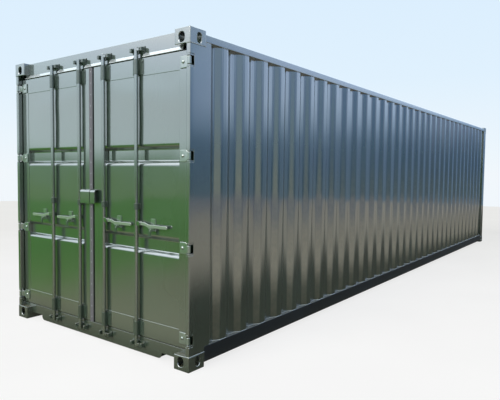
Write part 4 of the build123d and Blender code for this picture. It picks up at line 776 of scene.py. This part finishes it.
# Faces of the seals in front of this plane belong to the cover strip.
STRIP_BACK = -4.8288
for word in ("left", "right"):
    seal = rounded("door_gasket_" + word, "door_" + word, black_rubber, 0.0009,
                   rings=True)
    seal.data.materials.append(grey_strip)
    for face in seal.data.polygons:
        if face.center.y < STRIP_BACK:
            face.material_index = 1
RIVET_LINE, STRIP_FACE, RIVET_GAP, LOWEST_RIVETS = -0.033, -4.832, 0.10, (0.20, 1.40)
places = [((RIVET_LINE, STRIP_FACE, lowest + RIVET_GAP * step), (0.0, -1.0, 0.0))
          for lowest in LOWEST_RIVETS for step in range(11)]
fastened("strip_rivets", rivets, places, "door_left", "green_paint", zinc,
         Head_Radius=0.0045, Head_Height=0.0020, Washer_Radius=0.003)


# Hinges: forged lugs welded in the posts' recesses, each with its pin, and cranked blades
# on the leaves, each with one round-headed bolt.
# The forgings are painted a paler grey-green, a painted highlight of the sky on their rounded
# edges.
forged_highlight_paint = enamel("enamel_on_forged_steel", "#4f6457", 0.00025, 0.1)
rounded("hinge_lugs", "frame", plate_paint, 0.0018)
LOWEST_HINGE, HINGE_SPAN, BOLT_LINE, BLADE_FACE = 0.240, 2.108, 1.112, -4.839
HINGES = [LOWEST_HINGE + row * HINGE_SPAN / 3 for row in range(4)]
for word, side in (("left", -1), ("right", 1)):
    rounded("hinge_blades_" + word, "door_" + word, forged_highlight_paint, 0.0045, 3)
    places = [((side * BOLT_LINE, BLADE_FACE, z), (0.0, -1.0, 0.0)) for z in HINGES]
    fastened("hinge_bolts_" + word, rivets, places, "door_" + word, "green_paint", forged_highlight_paint,
             Head_Radius=0.014, Head_Height=0.009, Washer_Radius=0.013)


# Lock rods and their bearings: steel tube with forged cams, held by pressed straps bolted
# to the leaf. The cam keepers are forgings welded to the header and the sill.
lock_paint = enamel("enamel_on_lock_forgings", PAINT, 0.00012, 0.16, gloss=0.3)
rounded("cam_keepers", "frame", lock_paint, 0.003, 3)
RODS = {"inner": 0.175, "outer": 0.600}
BRACKETS, BRACKET_WIDTH, BRACKET_FACE = ((0.166, 0.286), (2.306, 2.426)), 0.130, -4.833
FROM_SIDE, FROM_END = 0.017, 0.02
for word, side in (("left", -1), ("right", 1)):
    rounded("rod_brackets_" + word, "door_" + word, lock_paint, 0.0012)
    places = [((side * middle + way * (BRACKET_WIDTH / 2 - FROM_SIDE), BRACKET_FACE, z),
               (0.0, -1.0, 0.0))
              for middle in RODS.values() for low, high in BRACKETS
              for way in (-1, 1) for z in (low + FROM_END, high - FROM_END)]
    fastened("bracket_bolts_" + word, hexagons, places, "door_" + word, "green_paint", lock_paint,
             Head_Radius=0.008, Head_Height=0.005, Washer_Radius=0.010)
    for place in RODS:
        rounded(f"lock_rod_{word}_{place}", f"{word}_{place}_rod", plate_paint, 0.0012)


# Handles, retainers and catches: cranked flat bars on a clevis, which lie on a shelf of the
# leaf and are kept there by a swinging catch plate.
# The handle bars are painted a pale grey-green, a painted highlight of the sky along their tops.
handle_highlight_paint = enamel("enamel_worn_thin_by_hands", "#75827a", 0.0001, 0.08, grain=2.0)
for word in ("left", "right"):
    rounded("handle_retainers_" + word, "door_" + word, forged_highlight_paint, 0.0012)
    for place in RODS:
        rounded(f"handle_{word}_{place}", f"{word}_{place}_handle", handle_highlight_paint, 0.0028, 3)
        rounded(f"catch_{word}_{place}", f"{word}_{place}_catch", lock_paint, 0.0010)


# Lock box: folded 5 mm plate welded over the door gap, so that no cutter reaches the
# padlock, which hangs in the drilled staples inside.
for word in ("left", "right"):
    rounded("lock_box_" + word, "door_" + word, plate_paint, 0.0016, 3)
